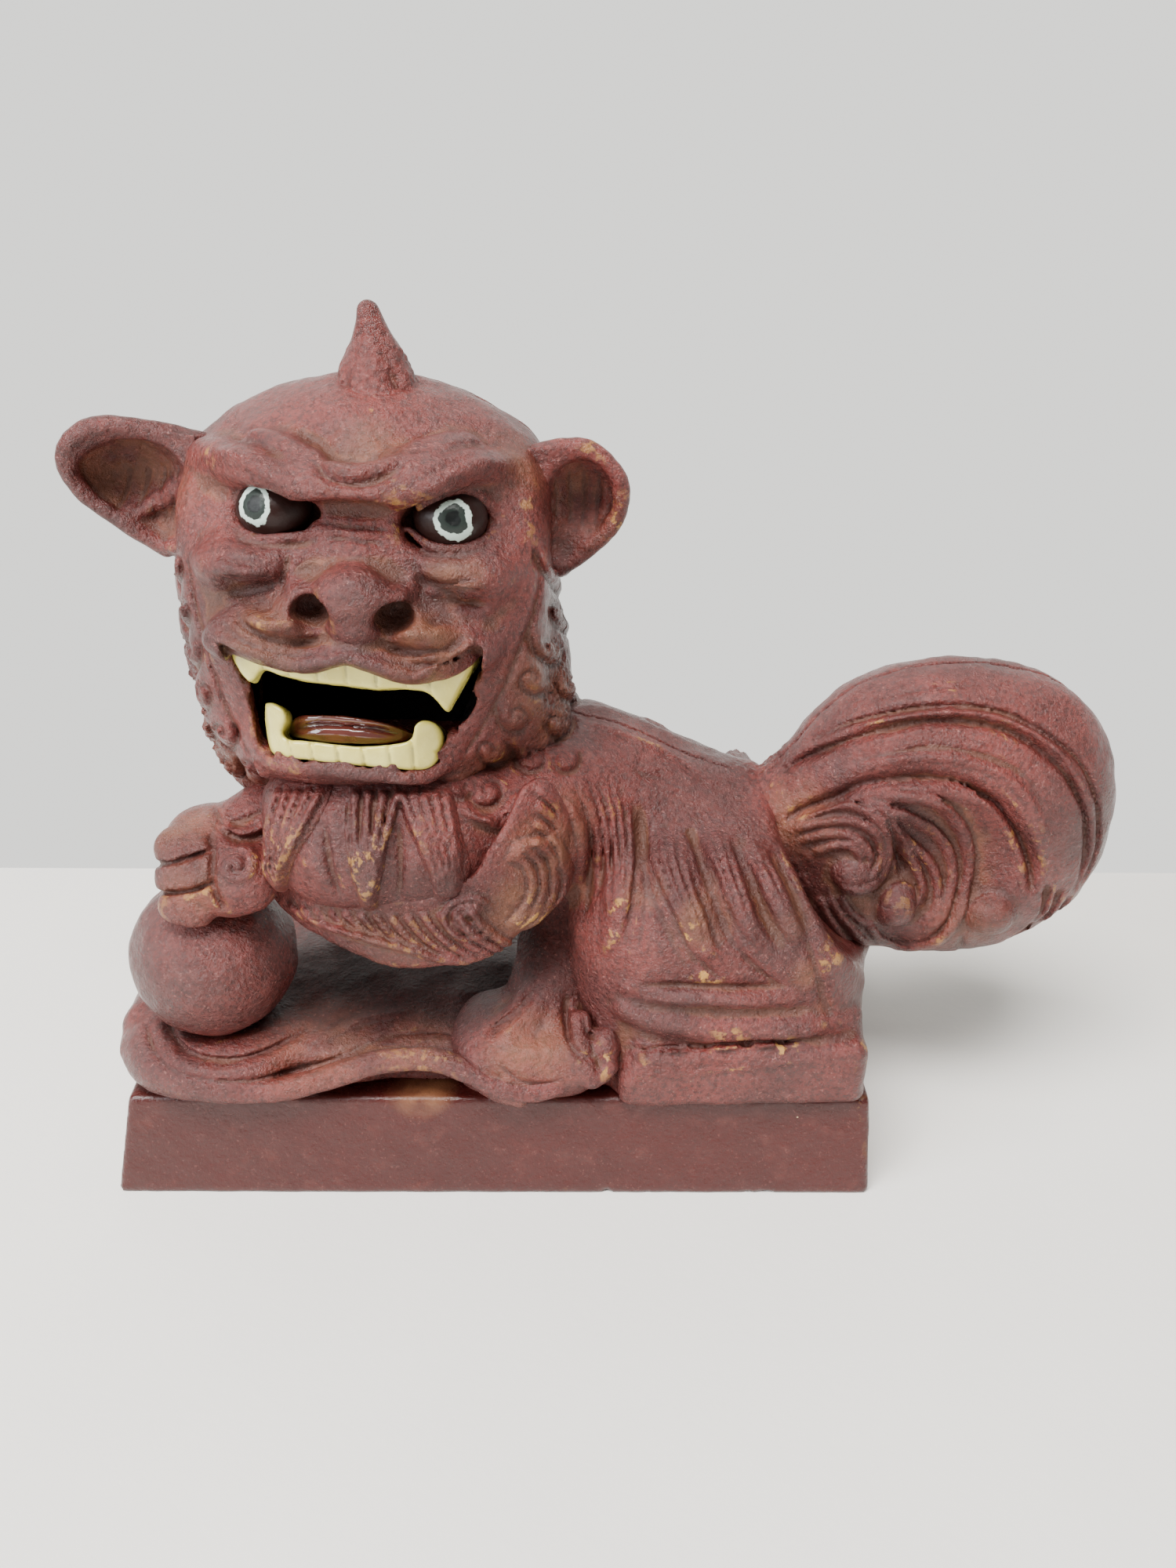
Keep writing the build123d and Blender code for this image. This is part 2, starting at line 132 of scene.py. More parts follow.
def rope(points, radii):
    """Round strand through 3-D points, each with its own radius."""
    reach = radii[:, None]
    margin = 5.0                 # mm round each length in which its distance is worked out

    def distance(x, y, z):
        best = np.full(np.broadcast_shapes(x.shape, y.shape, z.shape), FAR, np.float32)
        for a, b, ra, rb in zip(points[:-1], points[1:], radii[:-1], radii[1:]):
            pad = max(ra, rb) + margin
            cut = []
            for axis, c in enumerate((x, y, z)):
                c = c.ravel()
                low, high = min(a[axis], b[axis]) - pad, max(a[axis], b[axis]) + pad
                cut.append(slice(np.searchsorted(c, low), np.searchsorted(c, high)))
            px, py, pz = x[cut[0]], y[:, cut[1]], z[:, :, cut[2]]
            if not (px.size and py.size and pz.size):
                continue
            along = b - a
            length = max(along @ along, 1e-9)
            t = ((px - a[0]) * along[0] + (py - a[1]) * along[1] + (pz - a[2]) * along[2]) / length
            t = np.clip(t, 0.0, 1.0)
            gap = np.sqrt((px - a[0] - t * along[0]) ** 2 + (py - a[1] - t * along[1]) ** 2
                          + (pz - a[2] - t * along[2]) ** 2) - (ra + (rb - ra) * t)
            best[tuple(cut)] = np.minimum(best[tuple(cut)], gap)
        return best

    return Shape((points - reach).min(0), (points + reach).max(0), distance)


def both(first, second, k=0.0):
    """What two shapes share."""
    def distance(x, y, z):
        return -smooth_least(-first.distance(x, y, z), -second.distance(x, y, z), k)

    return Shape(np.maximum(first.low, second.low), np.minimum(first.high, second.high), distance)


def wall_of(axis, place, below=True):
    """Everything on one side of a plane square to an axis (0, 1 or 2)."""
    sign = 1.0 if below else -1.0

    def distance(x, y, z):
        return sign * ((x, y, z)[axis] - place)

    return Shape((-999,) * 3, (999,) * 3, distance)


def smooth_path(points, spacing=1.2):
    """Catmull-Rom curve through control points."""
    points = np.array(points, float)
    if len(points) < 3:
        return points
    padded = np.vstack([2 * points[0] - points[1], points, 2 * points[-1] - points[-2]])
    out = []
    for i in range(len(points) - 1):
        p0, p1, p2, p3 = padded[i:i + 4]
        steps = max(2, int(np.linalg.norm(p2 - p1) / spacing))
        for t in np.linspace(0, 1, steps, endpoint=False):
            out.append(0.5 * (2 * p1 + (p2 - p0) * t + (2 * p0 - 5 * p1 + 4 * p2 - p3) * t ** 2
                              + (3 * p1 - p0 - 3 * p2 + p3) * t ** 3))
    out.append(points[-1])
    return np.array(out)


def strand(points, radii, spacing=1.6):
    """Rope along a smooth curve through (x, y, z) points; radii is one radius or one for each."""
    points = np.array(points, float)
    radii = np.broadcast_to(np.array(radii, float), (len(points),))
    path = smooth_path(np.column_stack([points, radii]), spacing)
    return rope(path[:, :3], np.maximum(path[:, 3], 0.05))


# ---------------------------------------------------------------- clay
class Clay:
    """A block of clay between two corners."""

    def __init__(self, low, high, step=0.5):
        self.low = np.array(low, float)
        self.step = step
        self.size = tuple(int(math.ceil((h - l) / step)) + 1 for l, h in zip(low, high))
        self.d = np.full(self.size, FAR, np.float32)

    def window(self, shape, pad):
        """Slices of the grid round a shape, and the open-grid coordinates there."""
        first = np.floor((shape.low - pad - self.low) / self.step).astype(int)
        last = np.ceil((shape.high + pad - self.low) / self.step).astype(int) + 1
        first = np.clip(first, 0, self.size)
        last = np.clip(last, 0, self.size)
        axes = [(np.arange(a, b) * self.step + l).astype(np.float32)
                for a, b, l in zip(first, last, self.low)]
        return tuple(slice(a, b) for a, b in zip(first, last)), np.ix_(*axes)

    def add(self, shape, k=0.0):
        """Blend a shape in."""
        cut, (x, y, z) = self.window(shape, k + MARGIN)
        if self.d[cut].size:
            self.d[cut] = smooth_least(self.d[cut], shape.distance(x, y, z), k)
        return self

    def carve(self, shape, k=0.0):
        """Cut a shape away."""
        cut, (x, y, z) = self.window(shape, k + MARGIN)
        if self.d[cut].size:
            self.d[cut] = -smooth_least(-self.d[cut], shape.distance(x, y, z), k)
        return self

    def keep(self, shape, k=0.0):
        """Keep only what is inside a shape."""
        whole = Shape(self.low, self.low + np.array(self.size) * self.step, None)
        cut, (x, y, z) = self.window(whole, 0.0)
        self.d[cut] = -smooth_least(-self.d[cut], -shape.distance(x, y, z), k)
        return self

    def copy(self, high=None):
        """A second block with the same clay, or with its corner up to a place."""
        twin = Clay(self.low, self.low, self.step)
        ends = self.low + (np.array(self.size) - 1) * self.step if high is None else high
        twin.size = tuple(min(n, int(math.ceil((h - l) / self.step)) + 1)
                          for n, h, l in zip(self.size, ends, self.low))
        twin.d = self.d[tuple(slice(0, n) for n in twin.size)].copy()
        return twin

    def press(self, relief, back=False, reach=3.5, wrap=0.0):
        """Push the surface that faces the relief's plane out or in by the relief's height.

        Wrap lets it reach round to surfaces that are turned away a little more.
        """
        i, j, k = np.nonzero(np.abs(self.d) < reach)
        inner = ((i > 0) & (j > 0) & (k > 0) & (i < self.size[0] - 1) & (j < self.size[1] - 1)
                 & (k < self.size[2] - 1))
        i, j, k = i[inner], j[inner], k[inner]
        d = self.d
        slope = np.stack([d[i + 1, j, k] - d[i - 1, j, k], d[i, j + 1, k] - d[i, j - 1, k],
                          d[i, j, k + 1] - d[i, j, k - 1]], -1)
        slope /= np.maximum(np.linalg.norm(slope, axis=-1, keepdims=True), 1e-6)
        depth = self.low[1] + j * self.step
        sign = -1.0 if back else 1.0
        facing = -(slope[:, 1] * INTO[1] * sign + slope[:, 2] * INTO[2])
        weight = np.clip((facing + wrap) / 0.35, 0.0, 1.0)
        x = self.low[0] + i * self.step
        z = self.low[2] + k * self.step
        height = relief.sample(x, RISE * depth * sign + FALL * z)
        d[i, j, k] -= (height * weight).astype(np.float32)
        return self


class Relief:
    """Height map, in mm, over the drawing plane."""

    def __init__(self, low, high, step=0.25):
        self.low = np.array(low, float)
        self.step = step
        size = [int(math.ceil((h - l) / step)) + 1 for l, h in zip(low, high)]
        self.h = np.zeros(size)

    def sample(self, across, up):
        """Height at places in the drawing plane."""
        p = (across - self.low[0]) / self.step
        q = (up - self.low[1]) / self.step
        inside = (p >= 0) & (q >= 0) & (p < self.h.shape[0] - 1) & (q < self.h.shape[1] - 1)
        i = np.clip(p.astype(int), 0, self.h.shape[0] - 2)
        j = np.clip(q.astype(int), 0, self.h.shape[1] - 2)
        f, g = p - i, q - j
        h = self.h
        value = (h[i, j] * (1 - f) * (1 - g) + h[i + 1, j] * f * (1 - g)
                 + h[i, j + 1] * (1 - f) * g + h[i + 1, j + 1] * f * g)
        return np.where(inside, value, 0.0)

    def line(self, path, width, height, ends=(0.25, 0.25), shape="round"):
        """Ridge (or, with a negative height, groove) along a smooth drawn line.

        The width is half the mark's breadth.  Ends are the parts of its length over which it
        rises and fades.  It is a "round" rib, a "soft" swell or a "cut" with a sharp bed.
        """
        path = smooth_path(path, 0.8)
        reach = np.linalg.norm(np.diff(path, axis=0), axis=1)
        along = np.concatenate([[0.0], np.cumsum(reach)]) / max(reach.sum(), 1e-6)
        low = np.floor((path.min(0) - width - self.low) / self.step).astype(int)
        high = np.ceil((path.max(0) + width - self.low) / self.step).astype(int) + 1
        low = np.clip(low, 0, self.h.shape)
        high = np.clip(high, 0, self.h.shape)
        if (high <= low).any():
            return self
        u = (np.arange(low[0], high[0]) * self.step + self.low[0])[:, None]
        v = (np.arange(low[1], high[1]) * self.step + self.low[1])[None, :]
        best = np.full((u.size, v.size), 1e9)
        place = np.zeros_like(best)
        for a, b, s, t in zip(path[:-1], path[1:], along[:-1], along[1:]):
            step = b - a
            f = ((u - a[0]) * step[0] + (v - a[1]) * step[1]) / max(step @ step, 1e-9)
            f = np.clip(f, 0.0, 1.0)
            gap = np.hypot(u - a[0] - f * step[0], v - a[1] - f * step[1])
            nearer = gap < best
            best = np.where(nearer, gap, best)
            place = np.where(nearer, s + (t - s) * f, place)
        q = best / width
        if shape == "round":
            mark = np.sqrt(np.clip(1 - q * q, 0, 1))
        elif shape == "soft":
            mark = np.where(q < 1, 0.5 + 0.5 * np.cos(np.pi * np.minimum(q, 1)), 0)
        else:
            mark = np.clip(1 - q, 0, 1) ** 1.5
        rise = np.ones_like(place)
        if ends[0] > 0:
            rise *= np.clip(place / ends[0], 0, 1) ** 0.7
        if ends[1] > 0:
            rise *= np.clip((1 - place) / ends[1], 0, 1) ** 0.7
        self.h[low[0]:high[0], low[1]:high[1]] += height * mark * rise
        return self

    def lines(self, *marks, shape="soft"):
        """Several drawn lines, each (path, width, height) or (path, width, height, ends)."""
        for mark in marks:
            self.line(*mark, shape=shape)
        return self

    def curl(self, across, up, size, turns, start, hand, height, width=None):
        """Spiral ridge that winds in to a bead."""
        angles = np.linspace(0, turns * 2 * math.pi, int(14 * turns))
        radius = size * (1 - 0.85 * angles / angles[-1])
        path = np.column_stack([across + radius * np.cos(start + hand * angles),
                                up + radius * np.sin(start + hand * angles)])
        return self.line(path, width or size * 0.26, height, (0.1, 0.0))

    def dome(self, across, up, half_u, half_v, height, roll=0.0):
        """Soft oval swelling, or a hollow with a negative height."""
        u = (np.arange(self.h.shape[0]) * self.step + self.low[0] - across)[:, None]
        v = (np.arange(self.h.shape[1]) * self.step + self.low[1] - up)[None, :]
        c, s = math.cos(math.radians(roll)), math.sin(math.radians(roll))
        q = np.hypot((u * c + v * s) / half_u, (v * c - u * s) / half_v)
        self.h += height * np.where(q < 1, 0.5 + 0.5 * np.cos(np.pi * np.minimum(q, 1)), 0)
        return self


# ---------------------------------------------------------------- meshes and paint
WAVES = np.random.default_rng(7).normal(size=(26, 3))
WAVES /= np.linalg.norm(WAVES, axis=1, keepdims=True)
PHASES = np.random.default_rng(8).uniform(0, 2 * math.pi, 26)


def lumps(points, size, first, count=9):
    """Slow unevenness between about -1 and 1, with swells about as wide as size."""
    total = 0.0
    for n in range(first, first + count):
        reach = size * (0.75 + 0.5 * ((n * 7) % 5) / 4)
        total = total + np.sin(points @ WAVES[n] * (2 * math.pi / reach) + PHASES[n])
    return total / math.sqrt(count)


def mesh_of(name, clay, rough=1.0, crust=()):
    """Smooth-shaded mesh of a block of clay, in metres, with the marks a casting has.

    The surface is a little uneven everywhere, and crusty inside each (x, y, z, radius) of crust.
    """
    grid = openvdb.FloatGrid(FAR)
    grid.copyFromArray(np.pad(clay.d, 1, constant_values=FAR))
    points, triangles, quads = grid.convertToPolygons(isovalue=0.0, adaptivity=0.0)
    points = (points - 1.0) * clay.step + clay.low
    mesh = bpy.data.meshes.new(name)
    corners = np.concatenate([quads.ravel(), triangles.ravel()]).astype(np.int32)
    starts = np.concatenate([np.arange(len(quads)) * 4,
                             len(quads) * 4 + np.arange(len(triangles)) * 3]).astype(np.int32)
    mesh.vertices.add(len(points))
    mesh.vertices.foreach_set("co", (points * MM).astype(np.float32).ravel())
    mesh.loops.add(len(corners))
    mesh.loops.foreach_set("vertex_index", corners)
    mesh.polygons.add(len(starts))
    mesh.polygons.foreach_set("loop_start", starts)
    mesh.update(calc_edges=True)
    mesh.polygons.foreach_set("use_smooth", np.ones(len(mesh.polygons), bool))

    normal = np.empty(len(points) * 3, np.float32)
    mesh.vertex_normals.foreach_get("vector", normal)
    normal = normal.reshape(-1, 3)
    push = rough * (0.13 * lumps(points, 9.0, 0) + 0.05 * lumps(points, 3.6, 9))
    for x, y, z, radius in crust:
        near = np.clip(1.3 - np.linalg.norm(points - (x, y, z), axis=1) / radius, 0, 1)
        push = push + near * 0.42 * np.abs(lumps(points, 2.2, 17))
    points = points + normal * push[:, None]
    mesh.vertices.foreach_set("co", (points * MM).astype(np.float32).ravel())

    edges = np.empty(len(mesh.edges) * 2, np.int32)
    mesh.edges.foreach_get("vertices", edges)
    for label, rounds, scale in (("fine", 5, 6.0), ("broad", 40, 1.4)):
        bend = bending(points, normal, edges.reshape(-1, 2), rounds)
        note(mesh, label, np.clip(0.5 + scale * bend, 0, 1))
    return mesh


def bending(points, normal, edges, rounds):
    """How far each point lies below its smoothed surroundings, in mm: more in a hollow."""
    a, b = edges.T
    count = len(points)
    degree = np.maximum(np.bincount(a, minlength=count) + np.bincount(b, minlength=count), 1)
    soft = points
    for _ in range(rounds):
        soft = np.stack([(np.bincount(a, soft[b, i], count) + np.bincount(b, soft[a, i], count))
                         / degree for i in range(3)], -1)
    return ((soft - points) * normal).sum(1)


def note(mesh, label, values):
    """Store one number for each vertex, for the paint to use."""
    layer = mesh.attributes.get(label) or mesh.attributes.new(label, "FLOAT", "POINT")
    layer.data.foreach_set("value", np.asarray(values, np.float32))


def places(mesh):
    """Vertex positions in mm."""
    co = np.empty(len(mesh.vertices) * 3, np.float32)
    mesh.vertices.foreach_get("co", co)
    return co.reshape(-1, 3) / MM


def blots(mesh, label, spots):
    """Soft patches of strength 0 to 1, each (x, y, z, radius, strength)."""
    points = places(mesh)
    total = np.zeros(len(points))
    for x, y, z, radius, strength in spots:
        near = np.linalg.norm(points - (x, y, z), axis=1) / radius
        total = np.maximum(total, strength * np.clip(1.5 - near, 0, 1))
    note(mesh, label, total)


def show(name, data):
    """Put a mesh, lamp or camera in the scene."""
    thing = bpy.data.objects.new(name, data)
    bpy.context.scene.collection.objects.link(thing)
    return thing


def piece(name, mesh, paint, node):
    """Put a mesh in the scene as a piece of the statue that stands for a CAD node."""
    thing = show(name, mesh)
    mesh.materials.append(paint)
    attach(thing, "root")
    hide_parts(node)


# ---------------------------------------------------------------- materials
class Graph:
    """Short way to build a material's node graph."""

    def __init__(self, name):
        self.material = bpy.data.materials.new(name)
        self.material.use_nodes = True
        self.tree = self.material.node_tree
        self.shader = self.tree.nodes["Principled BSDF"]

    def node(self, kind, **settings):
        made = self.tree.nodes.new(kind)
        for key, value in settings.items():
            setattr(made, key, value)
        return made

    def join(self, source, target):
        self.tree.links.new(source, target)

    def put(self, socket, value):
        """Set a socket to a number or colour, or join another socket to it."""
        if isinstance(value, bpy.types.NodeSocket):
            self.join(value, socket)
        elif isinstance(value, tuple) and len(value) == 3 and socket.type == "RGBA":
            socket.default_value = (*value, 1.0)
        else:
            socket.default_value = value

    def place(self):
        """The object's own coordinates, in metres."""
        where = self.tree.nodes.get("where") or self.node("ShaderNodeTexCoord", name="where")
        return where.outputs["Object"]

    def noise(self, scale, detail=3.0, rough=0.55, stretch=None):
        """Noise in marks per metre, drawn out along an axis where stretch is small."""
        spot = self.place()
        if stretch:
            mapping = self.node("ShaderNodeMapping")
            mapping.inputs["Scale"].default_value = stretch
            self.join(spot, mapping.inputs["Vector"])
            spot = mapping.outputs["Vector"]
        made = self.node("ShaderNodeTexNoise")
        self.join(spot, made.inputs["Vector"])
        made.inputs["Scale"].default_value = scale
        made.inputs["Detail"].default_value = detail
        made.inputs["Roughness"].default_value = rough
        return made.outputs["Fac"]

    def cells(self, scale):
        """Distance to the nearest of scattered points, in points per metre."""
        made = self.node("ShaderNodeTexVoronoi", feature="F1")
        self.join(self.place(), made.inputs["Vector"])
        made.inputs["Scale"].default_value = scale
        return made.outputs["Distance"]

    def read(self, label):
        """A number stored on the mesh."""
        return self.node("ShaderNodeAttribute", attribute_name=label).outputs["Fac"]

    def ramp(self, value, low, high, to_low=0.0, to_high=1.0):
        """Map a range of a number to another, held at both ends."""
        made = self.node("ShaderNodeMapRange", interpolation_type="SMOOTHSTEP")
        self.join(value, made.inputs["Value"])
        for key, number in (("From Min", low), ("From Max", high),
                            ("To Min", to_low), ("To Max", to_high)):
            made.inputs[key].default_value = number
        return made.outputs["Result"]

    def sum(self, operation, a, b):
        made = self.node("ShaderNodeMath", operation=operation)
        self.put(made.inputs[0], a)
        self.put(made.inputs[1], b)
        return made.outputs["Value"]

    def mix(self, amount, a, b):
        """Blend of two colours."""
        made = self.node("ShaderNodeMix", data_type="RGBA")
        self.put(made.inputs["Factor"], amount)
        self.put(made.inputs["A"], a)
        self.put(made.inputs["B"], b)
        return made.outputs["Result"]

    def bump(self, height, strength, distance, under=None):
        made = self.node("ShaderNodeBump")
        made.inputs["Strength"].default_value = strength
        made.inputs["Distance"].default_value = distance
        self.join(height, made.inputs["Height"])
        if under:
            self.join(under, made.inputs["Normal"])
        return made.outputs["Normal"]

    def finish(self, colour, roughness, normal=None, **others):
        self.put(self.shader.inputs["Base Color"], colour)
        self.put(self.shader.inputs["Roughness"], roughness)
        if normal:
            self.join(normal, self.shader.inputs["Normal"])
        for key, value in others.items():
            self.put(self.shader.inputs[key.replace("_", " ")], value)
        return self.material


# colours: streaks, pits, light specks painted as glints, dust, painted shade in creases, gold,
# chips, and black for the mouth's paint and for painted shade
STREAK, PIT, GLINT = (0.26, 0.075, 0.058), (0.030, 0.007, 0.006), (0.36, 0.14, 0.12)
DUST, SHADE, GOLD = (0.235, 0.098, 0.042), (0.045, 0.015, 0.012), (0.46, 0.235, 0.055)
CHIP, BLACK = (0.55, 0.42, 0.24), (0.003, 0.002, 0.002)


def casting_paint(name, base, dark, dusty=1.0, rubbed=1.0, grain=1.0):
    """Oxblood paint over a sandy casting: dust in the hollows, gold rubbed through on ridges,
    painted shade, painted glints.
    """
    g = Graph(name)
    fine, broad = g.read("fine"), g.read("broad")
    colour = g.mix(g.ramp(g.noise(38.0, 4.0), 0.35, 0.68), dark, base)
    colour = g.mix(g.ramp(g.noise(210.0, 3.0), 0.52, 0.8, 0.0, 0.15), colour, STREAK)
    # coarse grain of the casting: darker pits, and light pinkish specks painted in as glints of
    # light off the sand
    pits = g.ramp(g.noise(1000.0, 4.0, 0.65), 0.36, 0.58, 0.62 * grain, 0.0)
    colour = g.mix(pits, colour, PIT)
    glints = g.ramp(g.noise(1500.0, 3.0, 0.6), 0.60, 0.70, 0.0, 0.42 * grain)
    colour = g.mix(glints, colour, GLINT)
    # soft dust in wide hollows and on the patches where it has settled
    settled = g.sum("MULTIPLY", g.ramp(broad, 0.58, 0.98, 0.0, 0.38 * dusty),
                    g.ramp(g.noise(60.0, 3.0), 0.38, 0.62))
    patch = g.sum("MULTIPLY", g.read("dust"), g.ramp(g.noise(150.0, 4.0), 0.3, 0.62, 0.25, 1.0))
    dust = g.sum("MAXIMUM", settled, patch)
    colour = g.mix(dust, colour, DUST)
    # shade in tight creases
    colour = g.mix(g.ramp(fine, 0.62, 1.0, 0.0, 0.55), colour, SHADE)
    # gold rubbed through on sharp ridges, broken up
    worn = g.sum("MULTIPLY", g.ramp(fine, 0.09, 0.0),
                 g.ramp(g.noise(75.0, 2.0), 0.60, 0.72, 0.0, 0.55))
    worn = g.sum("MULTIPLY", worn, g.ramp(g.noise(700.0, 3.0), 0.42, 0.58))
    rub = g.sum("MULTIPLY", g.read("rub"), g.ramp(g.noise(420.0, 3.0), 0.52, 0.60))
    rub = g.sum("MULTIPLY", rub, g.ramp(fine, 0.30, 0.16))
    worn = g.sum("MULTIPLY", g.sum("MAXIMUM", worn, rub), rubbed)
    colour = g.mix(worn, colour, GOLD)
    chips = g.sum("MULTIPLY", g.ramp(g.cells(190.0), 0.055, 0.04),
                  g.ramp(g.noise(45.0), 0.6, 0.68))
    colour = g.mix(chips, colour, CHIP)
    # black paint inside the mouth, and painted shade under the chest
    black = g.read("black")
    colour = g.mix(black, colour, BLACK)
    gloss = g.ramp(g.noise(120.0, 4.0), 0.35, 0.65, 0.15, 0.34)
    gloss = g.sum("ADD", gloss, g.sum("MULTIPLY", dust, 0.28))
    pebbles = g.bump(g.noise(520.0, 4.0, 0.6), 0.5 * grain, 0.0012)
    sand = g.bump(g.noise(1250.0, 4.0, 0.7), 0.75 * grain, 0.0008, pebbles)
    return g.finish(colour, gloss, sand, Coat_Weight=0.03, Coat_Roughness=0.2,
                    Specular_IOR_Level=g.ramp(black, 0.0, 0.6, 0.46, 0.08))


def plain_paint(name, colour, other, gloss, spread=0.12, grain=0.5, coat=0.5):
    """Brushed-on enamel with faint mottling, painted shade in its creases, brush lines and pimples.
    """
    g = Graph(name)
    tone = g.mix(g.ramp(g.noise(160.0, 4.0), 0.35, 0.65), colour, other)
    # painted shade: darker in the creases
    tone = g.mix(g.ramp(g.read("fine"), 0.60, 0.95, 0.0, 0.6), tone,
                 tuple(0.35 * c for c in other))
    ripple = g.bump(g.noise(240.0, 3.0), 0.35 * grain, 0.0008)
    return g.finish(tone, g.ramp(g.noise(300.0), 0.3, 0.7, gloss, gloss + spread),
                    g.bump(g.noise(900.0, 3.0), 0.2 * grain, 0.0004, ripple), Coat_Weight=coat,
                    Coat_Roughness=0.12)


def prism(outline, near, far, grow=0.0):
    """Solid drawn in the drawing plane and carried straight back, between two places along Y."""
    outline = np.array(outline, float)
    low, high = outline.min(0) - 8.0, outline.max(0) + 8.0
    step = 0.3
    flat = Relief(low, high, step)
    u = (np.arange(flat.h.shape[0]) * flat.step + low[0])[:, None]
    v = (np.arange(flat.h.shape[1]) * flat.step + low[1])[None, :]
    gap = np.full(flat.h.shape, 1e9)
    inside = np.zeros(flat.h.shape, bool)
    for a, b in zip(outline, np.roll(outline, -1, axis=0)):
        side = b - a
        f = np.clip(((u - a[0]) * side[0] + (v - a[1]) * side[1]) / (side @ side), 0, 1)
        gap = np.minimum(gap, np.hypot(u - a[0] - f * side[0], v - a[1] - f * side[1]))
        crosses = (a[1] > v) != (b[1] > v)
        if b[1] != a[1]:
            inside ^= crosses & (u < a[0] + (v - a[1]) * side[0] / side[1])
    flat.h = np.where(inside, -gap, gap) - grow

    def distance(x, y, z):
        up = RISE * y + FALL * z
        across = np.broadcast_to(x, np.broadcast_shapes(x.shape, up.shape))
        up = np.broadcast_to(up, across.shape)
        beyond = ((across < low[0] + step) | (across > high[0] - 2 * step)
                  | (up < low[1] + step) | (up > high[1] - 2 * step))
        edge = np.where(beyond, FAR, flat.sample(across, up))
        return np.maximum(edge, np.maximum(near - y, y - far))

    corners = [at(u_, v_, y_) for u_ in (low[0], high[0]) for v_ in (low[1], high[1])
               for y_ in (near, far)]
    return Shape(np.min(corners, 0), np.max(corners, 0), distance)


def drawn(c, path, radii, k):
    """Add a strand whose points are (across, up, depth) in the drawing plane."""
    c.add(strand([at(*p) for p in path], radii), k)


# ---------------------------------------------------------------- head
MOUTH = smooth_path([(-44.2, 92.2), (-42.2, 87), (-41, 81), (-40, 74.5), (-37, 72.3), (-30, 72),
                     (-22, 71.2), (-13, 70.2), (-9, 71.5), (-5.5, 77), (-2, 82), (-0.5, 87),
                     (0.2, 92), (-3, 91), (-9, 87.5), (-14, 87.2), (-19, 88.5), (-22.5, 89.2),
                     (-26, 88.5), (-32, 88), (-38, 89.8), (-43, 92)], 1.5)


